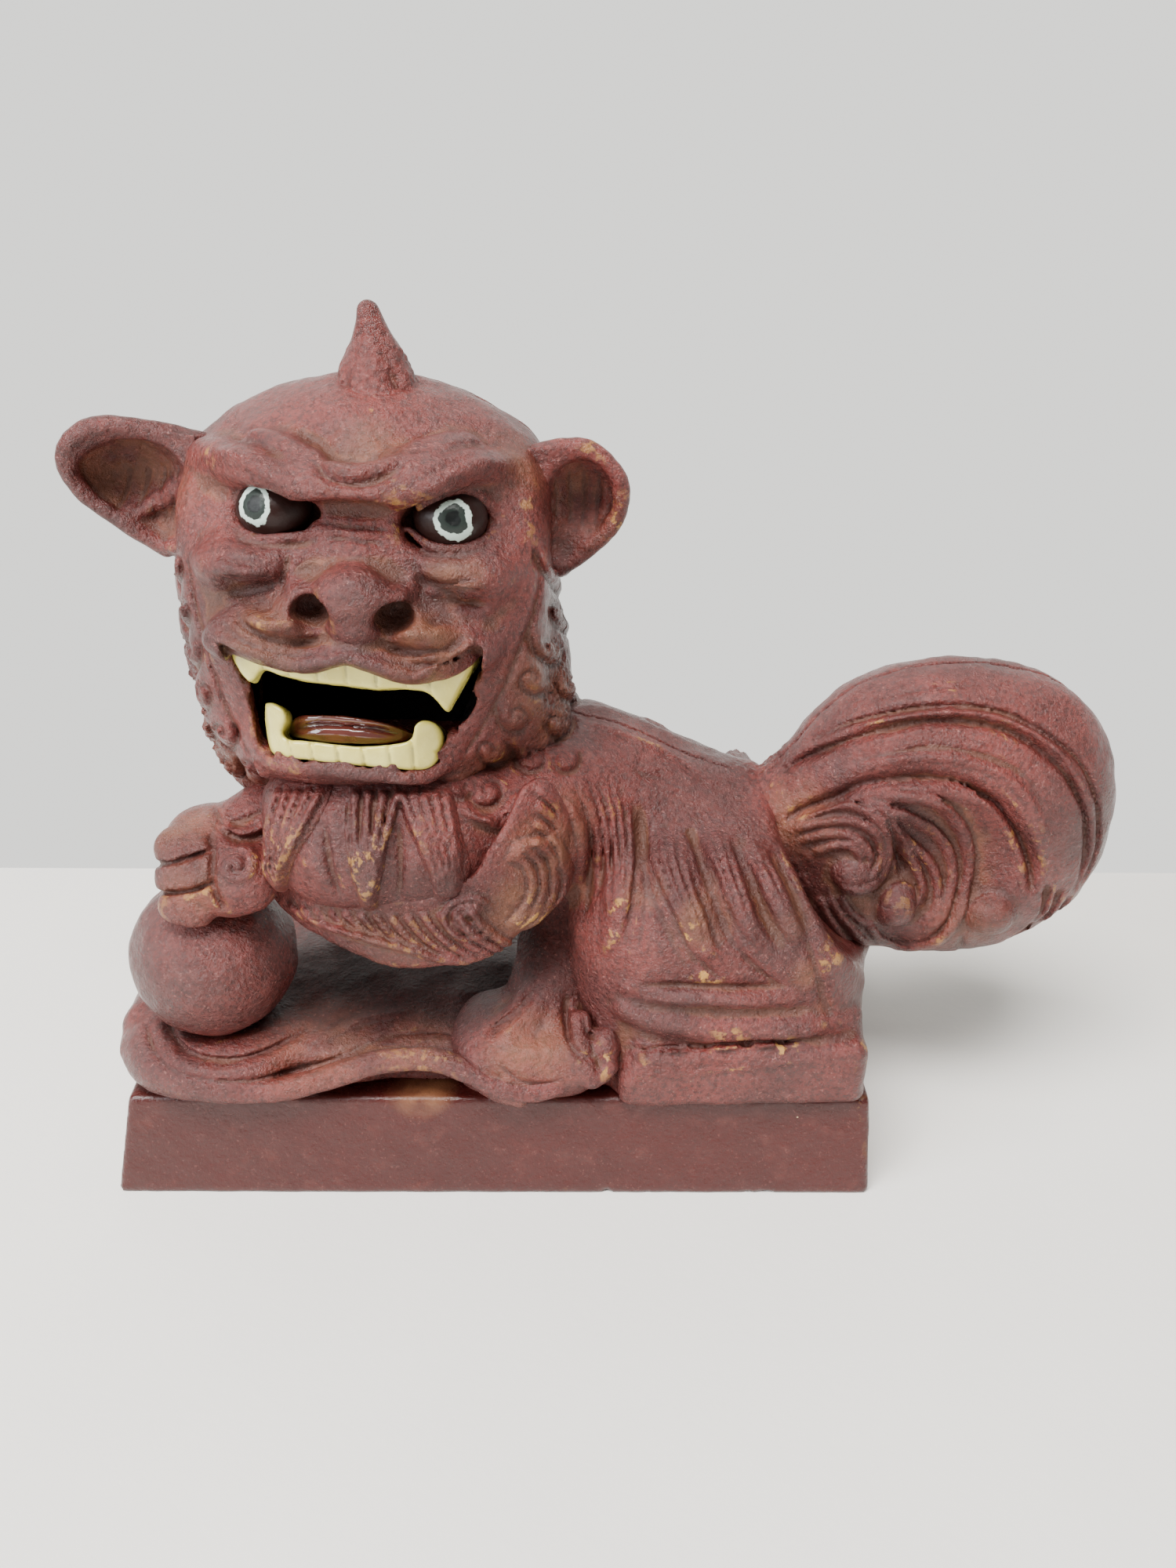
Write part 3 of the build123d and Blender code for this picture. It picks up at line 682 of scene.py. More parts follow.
def model_head():
    """Skull, face and mane as one block, before the mouth's paint and the split."""
    c = Clay((-65, -46, 70), (24, 36, 164), 0.54)
    # mane: a thick frame behind the face
    c.add(egg((-24, 2, 116), (36, 19, 24), power=3.0))
    c.add(egg((-20.5, 2, 97), (36, 21, 25), power=3.0), 5)
    # skull
    dome = both(egg((-21.5, -3, 118), (45, 31, 42)), egg((-21.5, -3, 118), (33, 33, 90),
                                                         power=3.2), 4)
    c.add(dome, 4)
    # jaw and chin
    c.add(egg((-23.5, -16, 100), (23, 18.5, 10.5), power=2.6), 5)
    c.add(egg((-23, -24, 98.4), (16.5, 11.0, 5), power=2.4), 3)
    # cheeks beside the eyes and the upper lip's pads
    c.add(egg(at(-39.5, 106.4, -25.5), (9.8, 8.4, 5.6), roll=4), 3)
    c.add(egg(at(-4.0, 104.6, -25.0), (9.8, 8.4, 6.0), roll=-4), 3)
    c.add(egg(at(-36.0, 94.6, -30.5), (12.0, 8.0, 5.6), roll=-6), 2.5)
    c.add(egg(at(-8.5, 92.8, -29.5), (11.5, 8.0, 5.6), roll=8), 2.5)
    c.add(egg(at(-22, 92.5, -32), (8, 6.5, 4.5)), 3)
    # temples: the flat sides of the face
    c.add(egg((-48.5, -14, 131), (4.5, 9, 13), power=2.4), 4)
    c.add(egg((5.0, -13, 129), (4.5, 10, 14), power=2.4), 4)
    # brow: two crests that dive to the middle
    low_brow = [(-48.5, 125.5, -13), (-43.5, 123.6, -19), (-38.5, 121.4, -23.5), (-33, 119, -26.5),
                (-28, 117.0, -29), (-21, 116.4, -30), (-14.5, 117.0, -29.5), (-10, 118.6, -28),
                (-5.5, 120.6, -25.5), (0, 122.4, -21), (5, 123, -14)]
    drawn(c, low_brow, [2.6, 3.5, 4.0, 4.1, 3.9, 3.8, 3.9, 4.1, 4.0, 3.5, 2.6], 3.2)
    high_brow = [(-37, 126.4, -20.5), (-32.5, 124.4, -22.5), (-28, 122.0, -25)]
    drawn(c, high_brow, [1.6, 2.0, 1.5], 4)
    high_brow = [(-14, 122.4, -25), (-9, 124.6, -22.5), (-3, 126.4, -18.5)]
    drawn(c, high_brow, [1.5, 2.0, 1.7], 4)
    # sockets under the brow
    c.carve(egg(at(-34.6, 112.8, -28), (8.2, 8.5, 4.8), roll=6), 2.0)
    c.carve(egg(at(-5.2, 112.4, -27), (8.2, 8.5, 4.9), roll=-6), 2.0)
    c.carve(egg(at(-21.5, 112.2, -32.5), (9.0, 4.5, 2.8)), 2.0)
    # full cheeks below the lids
    c.add(egg(at(-34.2, 108.0, -26.6), (7.6, 4.2, 2.6)), 1.6)
    c.add(egg(at(-4.8, 106.4, -25.9), (7.6, 4.2, 2.6)), 1.6)
    # lids
    for lid, radii, k in (
            ([(-41.5, 112.5, -24), (-38, 110.2, -27.5), (-33, 109.6, -29), (-28, 110.3, -28.5),
              (-26.5, 112, -27)], [0.7, 0.9, 0.9, 0.8, 0.6], 1.4),
            ([(-12, 111.5, -27), (-9, 109.0, -28.5), (-5, 108.2, -28.5), (-1, 109.2, -27),
              (1.8, 111.5, -23.5)], [0.6, 0.8, 0.9, 0.9, 0.7], 1.4),
            ([(-9.8, 114.8, -26.5), (-7, 117, -26), (-3.5, 117.9, -25), (0.2, 117, -23),
              (2.4, 114.4, -21.5)], [0.8, 1.2, 1.3, 1.2, 0.9], 0.8),
            ([(-40.8, 116, -22.5), (-38, 118.6, -25), (-34, 118.4, -26.5), (-30.5, 116.4, -27.5)],
             [0.8, 1.1, 1.1, 0.8], 0.8)):
        drawn(c, lid, radii, k)
    # nose: bridge, bulb and wings
    bridge = [(-21.3, 111, -24), (-21.2, 107, -26.5), (-21.2, 103.0, -29.5), (-21, 100.4, -31.5)]
    drawn(c, bridge, [3.2, 3.6, 4.4, 5.2], 3.5)
    c.add(egg(at(-20.8, 99.4, -33.0), (10.4, 6.4, 3.9), power=2.3), 2)
    c.add(egg(at(-20.9, 100.6, -35.6), (5.6, 4.4, 3.6)), 2)
    c.add(egg(at(-20.6, 95.6, -34.6), (4.6, 4.4, 3.4), power=2.4), 1.5)
    c.add(egg(at(-30.0, 99.6, -31.2), (5.4, 6.0, 3.9)), 2)
    c.add(egg(at(-11.8, 98.6, -31.2), (5.4, 6.0, 3.9)), 2)
    for fold in ([(-27.2, 111.3, -27.5), (-21, 110.6, -29), (-15, 110.3, -27.5)],
                 [(-28.0, 107.4, -28), (-21, 108.2, -30), (-14.4, 106.8, -28)]):
        drawn(c, fold, [1.2, 1.5, 1.2], 1.6)
    # the upper lip fills out to the corners of the mouth
    c.add(egg(at(-45.5, 92.5, -23), (3.6, 6, 4.2)), 2)
    c.add(egg(at(0.8, 92.5, -22), (4.2, 6, 4.6)), 2)
    # flat recesses between nose, cheek and lip
    c.carve(egg(at(-38.6, 99.6, -37.2), (6.4, 5.4, 2.8), power=3, yaw=-14, roll=-4), 2.6)
    c.carve(egg(at(-4.2, 97.9, -36.2), (6.4, 6.4, 3.0), power=3, yaw=16, roll=5), 2.6)
    # nostrils
    c.carve(egg(at(-27.8, 96.8, -36.6), (3.5, 6.0, 3.0), roll=-10), 1.4)
    c.carve(egg(at(-14.0, 96.0, -36.6), (3.3, 6.0, 3.0), roll=10), 1.4)
    for crease in ([(-23.4, 94.6, -40), (-22.4, 91.5, -39.5)],
                   [(-18.6, 94.4, -40), (-20, 91.5, -39.5)]):
        c.carve(strand([at(*p) for p in crease], [0.7, 0.6]), 0.8)
    # mouth, cut straight back, and the rolled lip round it
    c.carve(prism(MOUTH, -60, -9), 1.0)
    lip = [(-47.2, 97.4, -25), (-44.6, 94.4, -28.5), (-40.5, 91.9, -32), (-34, 89.8, -35),
           (-28, 89.3, -36.5), (-22.4, 90.4, -37), (-17.5, 89.0, -36.5), (-12.5, 87.6, -35.5),
           (-7.5, 88.2, -33.5), (-3.0, 90.9, -30), (-0.2, 94.6, -26)]
    drawn(c, lip, [1.5, 2.0, 2.1, 2.2, 2.2, 2.0, 2.2, 2.2, 2.1, 2.0, 1.5], 1.2)
    low_lip = [(-41, 78, -24), (-40.2, 74.5, -28), (-37, 72.2, -32), (-30, 71.4, -34.3),
               (-22, 70.6, -35), (-14, 69.7, -34), (-9.5, 70.6, -31), (-5.6, 76, -26),
               (-2.2, 81.5, -22), (-0.4, 87, -20), (0.6, 92.5, -20)]
    drawn(c, low_lip, [1.2, 1.5, 1.5, 1.5, 1.5, 1.5, 1.6, 1.8, 1.9, 1.9, 1.6], 1.4)
    band = [(3.2, 95.5, -15), (4.6, 91.5, -15), (2.6, 84, -16), (-1.6, 76.5, -20), (-7, 69.8, -26)]
    drawn(c, band, [2.0, 3.0, 3.4, 3.2, 2.4], 2.4)
    band = [(-46.5, 91, -20), (-45, 84, -20), (-43.5, 77, -23), (-40.5, 71.5, -27)]
    drawn(c, band, [1.6, 2.2, 2.2, 1.8], 2.0)
    return c


def face_relief():
    """Creases and folds of the face."""
    r = Relief((-66, 56), (28, 150))
    r.lines(([(-26.5, 120.5), (-24, 117.8), (-19.5, 116.9), (-15, 117.9), (-11.5, 120.3)], 1.4,
             -1.4), ([(-27.5, 124), (-24, 121), (-19, 119.8), (-14.5, 121), (-11, 123.5)], 2.2,
                     1.0), ([(-31, 128), (-26, 125), (-24, 121)], 1.3, -0.6),
            ([(-6, 128), (-12, 125.5), (-14.5, 121.5)], 1.3, -0.6))
    r.dome(-19, 133, 15, 8, 1.0)
    # heavy rolls of the brow, wrinkles across the bridge
    r.lines(([(-45, 123.6), (-40.4, 122.6), (-34.6, 119.4), (-28.6, 115.4)], 2.4, 1.4),
            ([(-43, 127.2), (-36.5, 124.8), (-30.4, 120.8)], 1.8, -0.7),
            ([(-11, 114.6), (-6.5, 117.0), (0.5, 121.2), (6, 123.0)], 2.4, 1.4),
            ([(-9, 120.6), (-3.6, 124.0), (3.2, 126.8)], 1.8, -0.7),
            ([(-27, 111.9), (-21, 111.2), (-14.6, 110.8)], 0.8, -0.9),
            ([(-25.6, 109.4), (-20.4, 108.9), (-15.4, 108.6)], 0.9, -0.6))
    # hollows below the cheek bags, roll along the upper lip
    r.lines(([(-45, 101.2), (-40, 101.0), (-35, 102.0), (-32.4, 103.6)], 1.5, -0.9),
            ([(-11, 103.4), (-6.4, 101.2), (-1.5, 99.6), (2.2, 99.4)], 1.5, -1.0))
    r.line([(-46, 96), (-43, 92.3), (-38, 90.1), (-32.2, 88.5), (-26.3, 88.7), (-22.5, 89.5),
            (-18.9, 88.7), (-13, 86.9), (-9.4, 86.8), (-5.2, 88.5), (-2.4, 91.6), (-1.4, 94)], 1.0,
           0.9)
    # crescents on the lip's pads
    r.lines(([(-41.0, 97.4), (-39.2, 95.0), (-36.2, 93.1), (-32.5, 92.2), (-28.5, 92.2),
              (-25, 93.2)], 0.9, -1.5), ([(-38.6, 97.0), (-36.6, 95.4), (-33, 94.4), (-29, 94.6)],
                                         1.1, 0.8), ([(-43.5, 96.6), (-41, 93.6), (-36.5, 91.6),
                                                      (-31, 90.8)], 0.8, -0.6),
            ([(-17.2, 92.4), (-13.6, 91.0), (-9.4, 90.7), (-5.2, 91.5), (-2.4, 93.8)], 0.9, -1.5),
            ([(-14.6, 93.6), (-11, 92.9), (-7.4, 93.3), (-4.8, 95)], 1.1, 0.8),
            ([(-14, 89.2), (-9, 88.8), (-4.6, 90.4), (-2.4, 93)], 0.8, -0.6), shape="round")
    r.dome(-34.5, 95.3, 8, 2.6, 1.2, -8)
    r.dome(-9.5, 93.6, 8, 2.6, 1.2, 8)
    # under the eyes and beside the nose
    r.lines(([(-44, 110), (-38, 108.4), (-31, 108), (-26.5, 109.2)], 1.2, -0.25),
            ([(-13, 108), (-8, 106.8), (-2, 107.2), (2.6, 109.6)], 1.2, -0.25),
            ([(-31.5, 107), (-32.6, 103.6), (-33, 100)], 1.2, -0.8),
            ([(-11.5, 106.5), (-9.8, 102.6), (-9.4, 99.5)], 1.2, -0.8))
    r.lines(([(-44.5, 104.8), (-39, 103.2), (-33.6, 103.4)], 1.1, 1.1),
            ([(-10, 101.6), (-4, 101), (1.8, 101.8)], 1.1, 1.1), shape="round")
    return r


def mane_relief():
    """Snail curls and nested arcs down both sides of the face and on to the chest."""
    r = Relief((-70, 54), (28, 126))
    curls = ((12.5, 108, 3.6, 1), (13.4, 101, 3.9, -1), (11.5, 93.8, 3.9, 1), (8.4, 87.4, 3.6, -1),
             (15.5, 87.5, 3.8, 1), (5.4, 80.8, 3.8, 1), (12.6, 80.2, 3.8, -1),
             (0.6, 74.6, 3.8, -1), (8.2, 73.6, 4.0, 1), (0.2, 67.4, 4.4, 1), (14.2, 73.2, 3.6, -1),
             (-5.0, 67.8, 3.2, -1), (-55.2, 106, 3.4, -1), (-54.0, 99, 3.8, 1),
             (-53.2, 91.8, 3.8, -1), (-51.6, 84.6, 4.0, 1), (-48.4, 77.6, 4.0, -1),
             (-53.4, 78.4, 3.2, 1), (-44.4, 70.8, 4.0, 1), (-50.4, 71.8, 3.4, -1))
    for across, up, size, hand in curls:
        r.dome(across, up, size, size * 0.9, 1.15)
        r.curl(across, up, size * 0.95, 1.1, 2.6 if hand > 0 else 0.6, hand, -0.75, 0.7)
    # notches between the locks along the outer edge
    for u, v in ((16.8, 104.5), (17.4, 97.2), (18, 90.6), (-59.6, 102.4), (-58.4, 95.2),
                 (-57.4, 88), (-56.4, 81.4)):
        r.line([(u - 2.5, v + 0.8), (u + 2.5, v - 0.6)], 0.9, -0.7, (0.2, 0.2), "soft")
    r.lines(([(9.4, 108), (9.6, 104), (8.6, 98), (6.4, 92.5), (3.6, 86), (0, 79.5), (-4.4, 73)],
             0.8, -0.7, (0.1, 0.1)), ([(-50.6, 108), (-50.2, 101), (-49, 94), (-47.6, 87),
                                       (-45.8, 80), (-42.6, 73)], 0.8, -0.7, (0.1, 0.1)))
    # arcs below the snails
    for n in range(3):
        k = 1.9 * n
        r.line([(-4.4 + k, 64.4 - 0.4 * k), (-1 + k * 0.9, 62 - 0.3 * k), (3 + k * 0.8, 63.4),
                (6 + k * 0.7, 66.6 + 0.2 * k)], 0.85, 0.9, (0.1, 0.1))
    return r


def nape_relief():
    """Rows of snail curls down the back of the head, which the photograph doesn't show."""
    r = Relief((-66, 24), (70, 160))
    for row in range(7):
        up = 139 - 8.8 * row
        shift = 0.0 if row % 2 else 4.8
        for n in range(7 if row % 2 else 6):
            across = -50 + 9.6 * n + shift
            # none near the skull's rim, where the front would show them
            if up > 95 and math.hypot((across + 21.5) / 30, (up - 95) / 36) > 0.92:
                continue
            hand = 1 if across > -21 else -1
            r.dome(across, up, 4.5, 4.2, 1.5)
            r.curl(across, up, 4.2, 1.1, 2.6 if hand > 0 else 0.6, hand, -1.0, 0.8)
    return r


# ---------------------------------------------------------------- ears, horn, eyes
def left_ear():
    """Big cupped leaf with a rolled rim, seen hollow side on."""
    outline = smooth_path([(-49, 131), (-57, 131.5), (-66, 132.5), (-73, 130), (-76.5, 126),
                           (-75, 121.5), (-71, 117.5), (-65, 113.5), (-60, 109.5), (-55, 109.5),
                           (-51, 114), (-49, 122)], 2)
    c = Clay((-80, -16, 120), (-44, 8, 158), 0.4)
    c.add(prism(outline, -10.5, 2.5, -1.6))
    c.add(egg((-55, -3, 139), (8, 6, 10)), 2)
    c.carve(egg((-64, -12, 142), (10.5, 9.5, 7.5), roll=-14), 1.2)
    c.carve(egg((-60, -10.5, 135), (6.0, 6, 5.5)), 2)
    rim = [(-50, 129.5, -7), (-58, 130.5, -9), (-66, 131, -10), (-72.5, 128.5, -10),
           (-74.5, 124.5, -9), (-72, 119.8, -8), (-66, 115.6, -7), (-60, 111.5, -6)]
    drawn(c, rim, [1.5, 1.5, 1.7, 1.8, 1.7, 1.5, 1.4, 1.3], 1.2)
    c.add(strand([at(*p) for p in [(-52, 124, -7), (-57, 122, -5), (-62, 119, -5),
                                   (-66, 117.5, -6)]], [1.8, 1.5, 1.1, 0.8]), 1.4)
    r = Relief((-82, 104), (-44, 136))
    for n in range(4):
        r.line([(-55 - 3.4 * n, 126), (-56.5 - 3.4 * n, 121), (-58.5 - 3.2 * n, 116.5)], 0.8,
               -0.45, shape="soft")
    return c.press(r)


def right_ear():
    """Smaller ear, tilted so that its hollow looks to the side and down."""
    outline = smooth_path([(5, 129), (10, 129.5), (17.5, 129.5), (23.5, 126), (26, 120.5),
                           (24, 115), (19, 110.5), (13.5, 107), (9.5, 108.5), (7.5, 114),
                           (6, 121)], 2)
    c = Clay((0, -16, 116), (32, 8, 156), 0.4)
    c.add(prism(outline, -10.5, 2.5, -1.5))
    c.add(egg((8, -3, 137), (6, 6, 9)), 2)
    c.carve(egg((17.5, -12, 138.5), (7.5, 8.5, 8.6), roll=14), 1.2)
    c.carve(egg((14, -11, 130.5), (4, 5, 5)), 2)
    rim = [(7, 127.5, -7), (12, 128.3, -9), (18, 128, -9.5), (22.8, 124.8, -9), (24.4, 120, -8),
           (22.4, 115.4, -7), (17.6, 111.4, -6), (13, 108.6, -5)]
    drawn(c, rim, [1.3, 1.4, 1.5, 1.6, 1.5, 1.4, 1.3, 1.2], 1.2)
    r = Relief((0, 100), (30, 134))
    for n in range(4):
        r.line([(12 + 2.8 * n, 126), (12.5 + 2.6 * n, 121), (12.5 + 2.4 * n, 116)], 0.7, -0.4,
               shape="soft")
    return c.press(r)


def horn():
    """Cone with hollow flanks, on a crusty ring of weld."""
    c = Clay((-31, -18, 150), (-7, 8, 177), 0.4)
    c.add(strand([(-19, -6, 152), (-19, -6, 157), (-19.0, -6, 161), (-19.2, -6, 165),
                  (-19.4, -6, 168.4), (-19.6, -6, 170.6)], [8.0, 7.4, 5.6, 4.0, 2.7, 1.9], 1.0))
    c.add(egg((-19, -6, 156.4), (9.0, 8.6, 2.8)), 2)
    # shallow flutes, deepest on the sides
    c.carve(strand([(-25.4, -12.6, 157), (-23.2, -11.4, 163), (-21.4, -9.6, 168)], [1.7, 1.4, 0.8],
                   1.0), 1.5)
    c.carve(strand([(-13.0, -12.4, 157), (-15.4, -11.4, 163), (-17.6, -9.6, 168)], [1.5, 1.2, 0.7],
                   1.0), 1.5)
    return c


def eye_mesh(name, middle, gaze, half_u, half_v):
    """Almond ball, hollowed at the pupil, that stores how far each vertex lies from the gaze.

    The number is 0 at the pupil's middle and 1 at the pale ring's edge.
    """
    x, y, z = middle
    c = Clay((x - 9, y - 9, z - 8), (x + 9, y + 8, z + 8), 0.3)
    c.add(egg(middle, (6.4, 5.8, 5.2)))
    c.carve(egg(at(gaze[0], gaze[1], middle[1] - 6.6), (half_u * 0.55, 1.6, half_v * 0.62)), 0.5)
    mesh = mesh_of(name, c, 0.3)
    p = places(mesh)
    up = RISE * p[:, 1] + FALL * p[:, 2]
    wobble = 0.05 * np.sin(3 * np.arctan2(up - gaze[1], p[:, 0] - gaze[0]) + 1.0)
    away = np.hypot((p[:, 0] - gaze[0]) / half_u, (up - gaze[1]) / half_v) + wobble
    note(mesh, "iris", np.where(p[:, 1] < middle[1], away, 2.0))
    return mesh


# ---------------------------------------------------------------- teeth and tongue
def tooth_band(outline, low, high, arch, thick, box):
    """Band of teeth: a drawn outline carried back through a curved wall."""
    (x, y), (half_x, half_y) = arch
    c = Clay(*box, 0.3)
    c.add(egg((x, y, 112), (half_x, half_y, 400), power=3))
    c.carve(egg((x, y, 112), (half_x - thick, half_y - thick, 400), power=3), 0.5)
    return c.keep(prism(smooth_path(outline, 0.8), low, high), 0.9)


def upper_teeth():
    """Row of upper teeth with a fang at each end."""
    outline = [(-45.2, 94), (-44.4, 91.5), (-42.8, 88.6), (-41.2, 86.6), (-40.2, 86), (-39, 86.8),
               (-37.6, 88), (-34.5, 87), (-29.5, 85.9), (-23.7, 85.3), (-18, 84.6), (-13.4, 84.9),
               (-10, 84.6), (-8.4, 83.6), (-6.4, 81.2), (-5.2, 82.6), (-3.6, 85.6), (-1.8, 89),
               (-0.6, 92.4), (-3, 92.8), (-7, 90.6), (-13, 89.2), (-22, 91.6), (-28, 91),
               (-34, 91), (-40, 92.6)]
    c = tooth_band(outline, -45, -14, ((-22.5, -12), (25.0, 24.0)), 3.6, ((-48, -40, 104),
                                                                          (2, -8, 128)))
    r = Relief((-48, 78), (2, 98))
    for x in (-37.5, -33, -28, -23, -18, -13, -9):
        r.line([(x, 92), (x + 0.2, 84)], 0.6, -0.3, (0, 0), "soft")
    return c.press(r)


def lower_teeth():
    """Row of lower teeth that curls up at both ends."""
    outline = [(-38.4, 82.6), (-36.6, 82.4), (-34.6, 81.2), (-34.4, 79.4), (-35.4, 77.6),
               (-34.6, 76.3), (-31, 75.8), (-21, 75), (-14.6, 75.5), (-12.4, 76.7), (-12, 78.6),
               (-10.6, 79.6), (-8.6, 79.2), (-7.4, 77.2), (-7.6, 74.4), (-9, 72), (-12, 70.9),
               (-22, 71.6), (-31.5, 72.6), (-37.6, 73.4), (-38.9, 76), (-39.2, 79.6)]
    c = tooth_band(outline, -44, -16, ((-23.2, -12.5), (19.2, 23.4)), 4.6, ((-44, -40, 88),
                                                                            (-2, -8, 116)))
    r = Relief((-46, 66), (0, 86))
    for x in (-34, -30, -25.5, -21, -16.5, -12.5):
        r.line([(x, 76), (x + 0.2, 70)], 0.6, -0.3, (0, 0), "soft")
    return c.press(r)


def tongue():
    """Tray-shaped tongue with a raised rim."""
    outline = smooth_path([(-36.4, 77.8), (-35, 79.8), (-31.5, 81), (-22, 80.4), (-14.4, 79),
                           (-12.2, 77.2), (-14, 75.6), (-22, 75), (-31, 75.8), (-35.4, 76.4)], 1.2)
    c = Clay((-40, -36, 90), (-8, -6, 112), 0.35)
    c.add(prism(outline, -33.5, -14, -0.4))
    c.keep(egg((-24.5, -15, 102), (13.2, 18.5, 40), power=2.6), 1.2)
    r = Relief((-40, 70), (-8, 88))
    r.lines(([(-33.5, 78.2), (-28, 78.9), (-20, 78.3), (-15, 77.4)], 0.9, -1.1),
            ([(-34, 77), (-28, 77.2), (-20, 76.6), (-14.5, 76.4)], 0.7, 0.4))
    return c.press(r)


# ---------------------------------------------------------------- body
def model_body():
    """Trunk, chest, haunches and the long hind feet."""
    c = Clay((-48, -42, 21.9), (84, 42, 106), 0.55)
    back = [(-12, 3, 76), (4, 3, 73), (16, 3, 71), (30, 3, 64.5), (44, 2, 59.5), (58, 1, 56),
            (64, 0, 50)]
    c.add(strand(back, [20, 21, 22, 22, 21.5, 22, 20], 4))
    for side in (-1, 1):
        c.add(egg((40, side * 11, 49), (26.5, 23.6, 26.5), power=2.4), 5)
        c.add(egg((57, side * 12, 44), (18.5, 21.5, 27), power=3.0), 5)
    c.add(egg((59, 0, 40), (17.5, 30, 26), power=4), 4)
    c.add(egg((46, 0, 30), (29, 33.5, 14), power=5), 3)
    # the rump falls away below the root of the tail
    c.carve(egg((88, 0, 78), (31, 60, 36)), 4)
    # chest and shoulder
    c.add(egg((-19.5, -12.5, 78.5), (25, 26, 17), power=2.6), 3)
    c.add(egg((2, -6, 76), (22, 25, 19)), 5)
    c.add(egg((-16, 8, 78), (33, 22, 17)), 4)
    # under the chest it stays open, front to back
    c.carve(slab((-22, 0, 42), (35, 60, 17.5), 6), 3)
    # feet, and the rolls over them
    for side in (-1, 1):
        c.add(strand([(30, side * 29, 37.5), (50, side * 30.5, 37.5), (70, side * 28, 37.5)],
                     [4.5, 4.8, 4.0], 4), 2)
        c.add(slab((50.3, side * 28.2, 29.4), (25.0, 9.0, 7.4), 2.8, roll=-1.6), 2.4)
        c.add(strand([(27, side * 32, 42.5), (40, side * 33.5, 41), (62, side * 33, 40.5),
                      (72, side * 28, 39)], [2.5, 3.2, 3.2, 2.2], 4), 2)
        c.add(strand([(27, side * 31.5, 48.6), (40, side * 33.4, 48.2), (58, side * 32.4, 47.2),
                      (66, side * 29, 46)], [1.6, 2.4, 2.4, 1.2], 4), 1.6)
    for side in (-1, 1):
        c.carve(egg((21.5, side * 40, 37), (9, 9, 10)), 2)
    return c.keep(wall_of(2, PLINTH_TOP, below=False))


def flank_relief():
    """Strands of coat that hang down the flank, with the folds between them."""
    r = Relief((-50, -5), (82, 100))
    groups = (([(23, 69), (24.5, 62.5), (25, 56), (24.8, 50), (24.4, 45), (23.6, 39.5),
                (22.7, 34.5)], 1.9, 4),
              ([(34, 60), (34.5, 54), (36.5, 48), (39, 42), (41.5, 36.5), (44, 32.5)], 2.0, 4),
              ([(44, 60), (45.5, 53), (47.5, 47), (49.5, 42), (52.5, 36.5)], 1.9, 3),
              ([(51, 58), (53, 52), (55.5, 46.5), (58, 41), (60, 37)], 1.8, 3))
    for path, gap, count in groups:
        for n in range(count):
            shift = (n - (count - 1) / 2) * gap
            shorter = 1.5 * abs(n - 1)
            trim = {0: -shorter, len(path) - 1: shorter}
            line = [(u + shift * (1.0 - 0.09 * k), v + trim.get(k, 0))
                    for k, (u, v) in enumerate(path)]
            r.line(line, 0.74, 1.5, (0.3, 0.4))
        r.line(path, 3.4, 0.9, (0.3, 0.35), "soft")
        outer = (count + 1) / 2 * gap + 0.6
        for edge in (-outer, outer):
            r.line([(u + edge, v) for u, v in path], 1.5, -0.6, (0.3, 0.3), "soft")
    r.lines(([(40.5, 35), (42.5, 32.5), (45, 30.8)], 0.8, -0.8),
            ([(47.5, 37.5), (50.5, 34), (53.5, 31.5), (56, 29.5)], 1.0, -1.1),
            ([(28.5, 64), (29.5, 58), (30, 53)], 1.6, -1.0),
            ([(38.5, 60), (41, 54), (43.5, 48)], 2.0, -1.1),
            ([(54, 58), (58, 48.5), (61, 40), (64, 31), (68, 20)], 1.6, -0.7),
            ([(28, 29.4), (39, 29.4), (48, 29.2), (58, 29.4)], 1.3, -1.1),
            ([(28, 26.4), (40, 26.0), (50, 26.0), (59, 26.4)], 1.5, 0.8),
            ([(30, 27), (40, 26.9), (55, 26.6)], 1.3, 0.5),
            ([(26, 15.6), (36, 16.2), (49, 17.2), (66, 18.4)], 0.9, -1.0),
            ([(26, 9), (32, 10), (48, 12), (66, 14)], 0.8, 0.4))
    for u, v, wide in ((-31, 53, 8.5), (-21, 52, 4.5), (-11.5, 53, 7.5)):
        r.dome(u, v, wide, 9, 1.1)
    r.lines(([(-29, 62), (-28, 54), (-26.5, 47)], 1.2, -1.0),
            ([(-15.5, 62), (-15.2, 54), (-16, 47)], 1.2, -1.0))
    r.lines(([(15.5, 82.5), (28.5, 78), (37.5, 74), (43, 70.5), (48, 67)], 0.6, 0.4),
            ([(30, 71), (33, 72), (37, 71)], 0.7, 0.5),
            ([(27.5, 72), (30.5, 70), (34.5, 69.6)], 0.5, -0.5),
            ([(17, 70), (20, 62), (21, 55), (20, 48)], 1.0, 0.9),
            ([(14.5, 66), (17.4, 60), (18, 54), (17, 49)], 1.0, 0.8), shape="round")
    return r


def beard_relief():
    """Three tufts of parallel strands over the swell of the chest."""
    r = Relief((-48, 36), (2, 72))
    fans = (((-38.5, -29.5), 67.5, (-42.2, -40.0), 46, -2.2), ((-26, -15.5), 67.5, (-22.4, -21.0),
                                                               45.5, 0.0), ((-15, -7.0), 67.5,
                                                                            (-8.0, -5.4), 46, 2.6))
    for (left, right), top, (low_left, low_right), bottom, bow in fans:
        for s in np.linspace(0, 1, 5):
            a, b = left + (right - left) * s, low_left + (low_right - low_left) * s
            path = [(a, top), (a + (b - a) * 0.3 + bow * 0.35, top - (top - bottom) * 0.35),
                    (a + (b - a) * 0.68 + bow * 0.4, top - (top - bottom) * 0.68), (b, bottom)]
            r.line(path, 0.9, 1.75, (0.05, 0.3))
    return r


